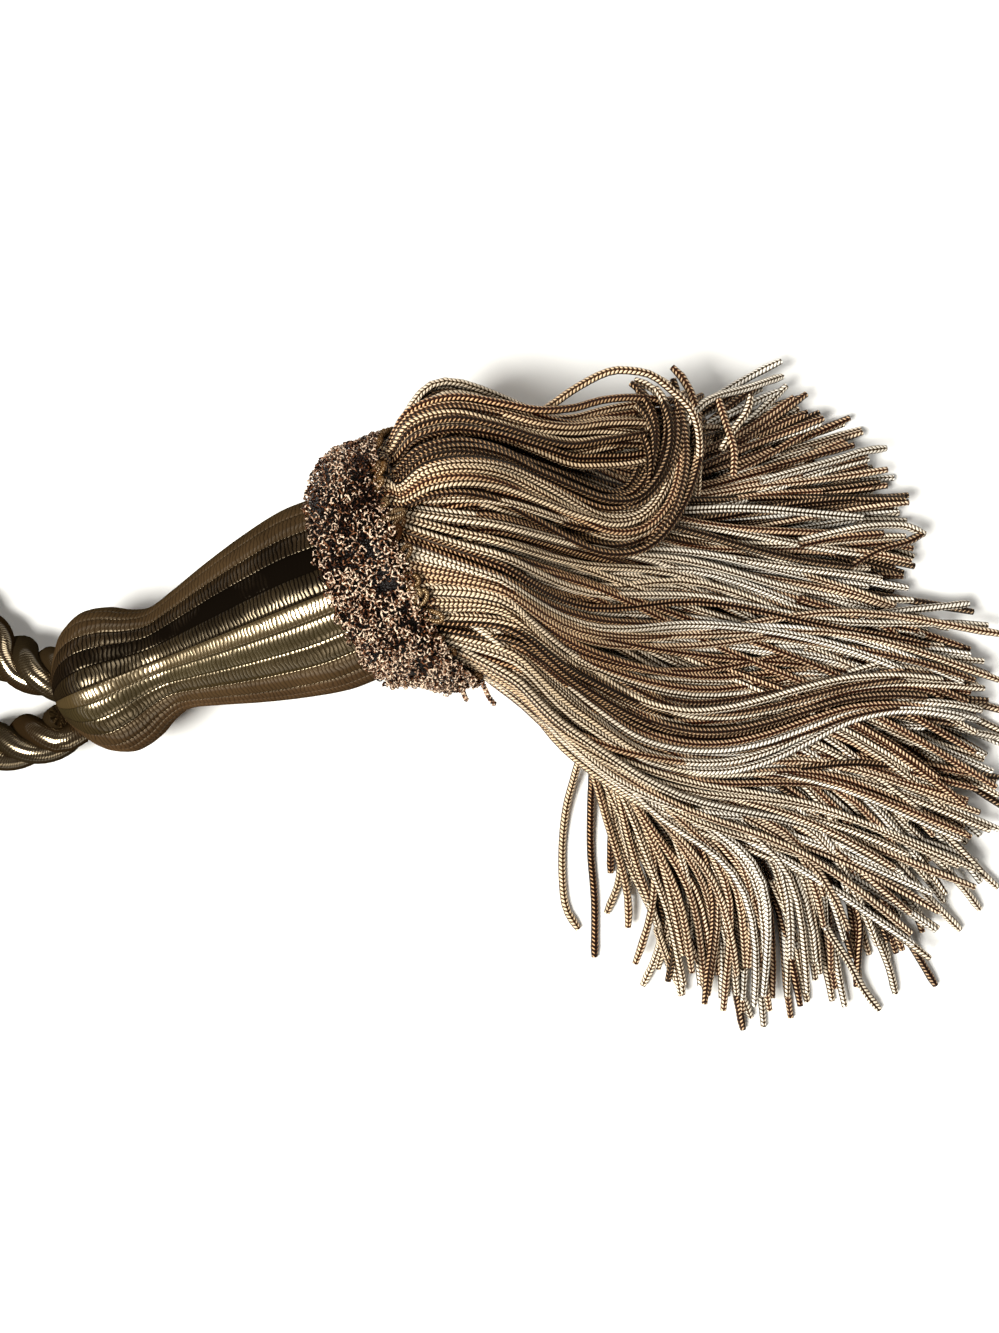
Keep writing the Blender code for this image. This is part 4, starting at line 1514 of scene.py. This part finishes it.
    def ended(self, line: list[Vector], tone: float, rng: random.Random) -> Strand:
        """A cord whose cut end has a slight flare and a rounded rim."""
        return Strand(line, tone, self.turned(rng), [1.0] * (len(line) - 2) + [1.08, 0.8])

    def tones(self, count: int, rng: random.Random) -> list[float]:
        """Tones of the neighbouring cords of a row, in small groups that share one.

        Args:
            count: Number of cords.
            rng: Source of the groups.

        Returns:
            One tone for each cord.
        """
        tones: list[float] = []
        while len(tones) < count:
            place = len(tones) / count
            dark = rng.random() < next(share for end, share in self.bands if place <= end)
            tone = rng.choice(self.dark_tones if dark else self.light_tones)
            tones += [tone + rng.uniform(-0.04, 0.04) for _ in range(rng.choice((1, 1, 2, 2, 3)))]
        return tones[:count]

    def row_strands(self, level: float, over: bool) -> list[Strand]:
        """The cords of one row.

        Args:
            level: How far in the row lies.
            over: Whether to lay the row's upper cords, which sweep to the right, or the others.

        Returns:
            The cords.
        """
        rng = random.Random(int(1000 + 10 * level + 500 * over))
        radius = self.ring_mm - level * self.ring_step_mm
        count = round(TURN * radius / self.cord_mm)
        tones = self.tones(count, rng)
        strands = []
        for column in range(count):
            share = (column + 0.5 * rng.uniform(0.6, 1.4)) / count
            upper = 0.02 < share < 0.48
            if over and not upper or not over and upper and level < 1.0:
                continue
            # the lock takes the place of the outermost cords on the far side
            if over and level < 0.5 and share < 0.13:
                continue
            tip = 1.0 - 0.13 * rng.random() ** 1.6 - 0.015 * level
            line = [AXIS.point(start, radius, TURN * share) for start in (*self.start_mm, AXIS.ring_mm)]
            for index in range(1, self.row_steps + 1):
                line.append(self.place(level, share, tip * index / self.row_steps, over))
            key = 20.0 * share + 5.0 * level + (100.0 if over else 0.0)
            freedom = 0.5 if min(share, 1.0 - share) < 0.1 else 1.0
            strands.append(self.ended(self.strayed(line, key, freedom, rng), tones[column], rng))
        return strands

    def bundle(
        self,
        guides: Sequence[Sequence[Place]],
        size: tuple[int, int],
        roots: tuple[float, float],
        tones: Sequence[float],
        least: float,
        seed: int,
    ) -> list[Strand]:
        """A group of cords that keep together, laid between guides.

        Args:
            guides: Lines of the bundle's top layer, from one edge to the other.
            size: Cords in a layer, and number of layers.
            roots: Angles at which the two edges leave the ring, in degrees.
            tones: The cords' tones across the bundle.
            least: The shortest cord's share of the guides' length.
            seed: Seed of small differences.

        Returns:
            The cords.
        """
        rng = random.Random(seed)
        width, layers = size
        strands = []
        marks = [index / (len(guides) - 1) for index in range(len(guides))]
        for layer in range(layers):
            depth = self.layer_mm * layer
            for column in range(width):
                share = (column + 0.5 + 0.5 * (layer % 2)) / (width + 0.5)
                angle = math.radians(blend(*roots, share))
                route = [AXIS.point(82.0, self.ring_mm - depth, angle)]
                route += [AXIS.point(AXIS.ring_mm, self.ring_mm + 0.4 - depth, angle)]
                drift = Vector((rng.uniform(-0.4, 0.4), rng.uniform(-0.4, 0.4), -1.8 * layer))
                for places in zip(*guides):
                    route.append(between_rows(marks, [Vector(place) for place in places], share) + drift)
                line = even_line(route, self.step_mm)
                line = line[: round(len(line) * rng.uniform(least, 1.0))]
                line = self.strayed(line, 10.0 * share + 3.0 * layer + seed, 0.45, rng)
                strands.append(self.ended(line, tones[column % len(tones)], rng))
        return strands

    def build(self) -> list[Piece]:
        """Build all the skirt's cords.

        Returns:
            The skirt's pieces.
        """
        material = self.finish.build()
        groups: dict[str, list[Strand]] = {}
        for number in range(0, len(self.row_levels), 2):
            levels = self.row_levels[number : number + 2]
            strands = [strand for level in levels for strand in self.row_strands(level, over=False)]
            groups[f"skirt_rows_{number // 2 + 1}"] = strands
        groups["skirt_sweep"] = [
            strand for level in self.over_levels for strand in self.row_strands(level, over=True)
        ]
        curl = self.bundle(self.curl_guides, (9, 3), (66.0, 34.0), self.curl_tones, 0.8, 31)
        straight = self.bundle(self.straight_guides, (7, 4), (34.0, 8.0), self.straight_tones, 0.9, 32)
        groups["skirt_lock"] = curl + straight
        stream = self.bundle(self.stream_guides, (9, 2), (125.0, 100.0), self.stream_tones, 0.8, 33)
        groups["skirt_stream"] = stream
        rng = random.Random(self.loose_seed)
        groups["skirt_loose_ends"] = [
            self.ended(even_line(route, self.step_mm), tone, rng) for tone, route in self.loose_ends
        ]
        pieces = []
        for name, strands in groups.items():
            maker = CordMaker(name, 0.5 * self.cord_mm, self.sides, material)
            nodes = ["skirt"] if name == "skirt_rows_1" else []
            pieces.append(finished(maker.make(strands), Slot.CORD, *nodes))
        return pieces


# ---------------------------------------------------------------- the studio


@dataclass
class Studio:
    """Camera, floor and lights; its sizes are in metres."""

    camera_place: Place = (-0.0087, 0.0095, 0.5)
    frame_height: float = 0.33325
    sensor_mm: float = 24.0
    half_floor: float = 3.0
    room_colour: str = "#f6f4f0"
    room_light: float = 0.06
    aim: Place = (0.0, 0.0, 0.02)
    # name, place, width and height, watts, colour
    softboxes: tuple[tuple[Any, ...], ...] = (
        ("key_softbox", (-0.85, -0.45, 1.7), (0.75, 0.75), 70.0, "#fffdf8"),
        ("front_softbox", (0.3, -1.1, 0.5), (0.9, 0.4), 1.5, "#fffaf4"),
        ("far_softbox", (0.4, 1.1, 1.2), (1.0, 1.0), 9.0, "#fffdfa"),
    )

    def build_camera(self) -> Piece:
        """Build the camera, straight above the tassel as in the photograph.

        Returns:
            The camera.
        """
        data = bpy.data.cameras.new("camera")
        data.sensor_fit = "VERTICAL"
        data.sensor_height = self.sensor_mm
        data.lens = self.sensor_mm * self.camera_place[2] / self.frame_height
        data.clip_start = 0.01
        camera = bpy.data.objects.new("camera", data)
        camera.location = self.camera_place
        bpy.context.scene.collection.objects.link(camera)
        bpy.context.scene.camera = camera
        return camera

    def build_floor(self) -> Piece:
        """Build the pale floor.

        Returns:
            The floor.
        """
        half = self.half_floor
        corners = [(-half, -half, 0.0), (half, -half, 0.0), (half, half, 0.0), (-half, half, 0.0)]
        floor = add_piece("floor", corners, faces=[(0, 1, 2, 3)])
        floor.data.materials.append(MattCard().build())
        return floor

    def build_lights(self) -> None:
        """Hang the soft lights, each facing the tassel, and set the dim room round them."""
        scene = bpy.context.scene
        for name, place, size, watts, colour in self.softboxes:
            data = bpy.data.lights.new(name, "AREA")
            data.shape = "RECTANGLE"
            data.size, data.size_y = size
            data.energy = watts
            data.color = linear(colour)[:3]
            light = bpy.data.objects.new(name, data)
            light.location = place
            towards = Vector(self.aim) - Vector(place)
            light.rotation_euler = towards.to_track_quat("-Z", "Y").to_euler()
            scene.collection.objects.link(light)
        world = bpy.data.worlds.new("room")
        world.use_nodes = True
        back = world.node_tree.nodes["Background"]
        back.inputs["Color"].default_value = linear(self.room_colour)
        back.inputs["Strength"].default_value = self.room_light
        scene.world = world
        scene.view_settings.view_transform = "Standard"


def main() -> None:
    """Build the camera and the rope first, then the rest of the tassel and the studio."""
    logging.basicConfig(level=logging.INFO, format="%(name)s: %(message)s")
    studio = Studio()
    studio.build_camera()
    RopeLoop().build()
    Head().build()
    Ruff().build()
    Skirt().build()
    studio.build_floor()
    studio.build_lights()


if __name__ == "__main__":
    main()
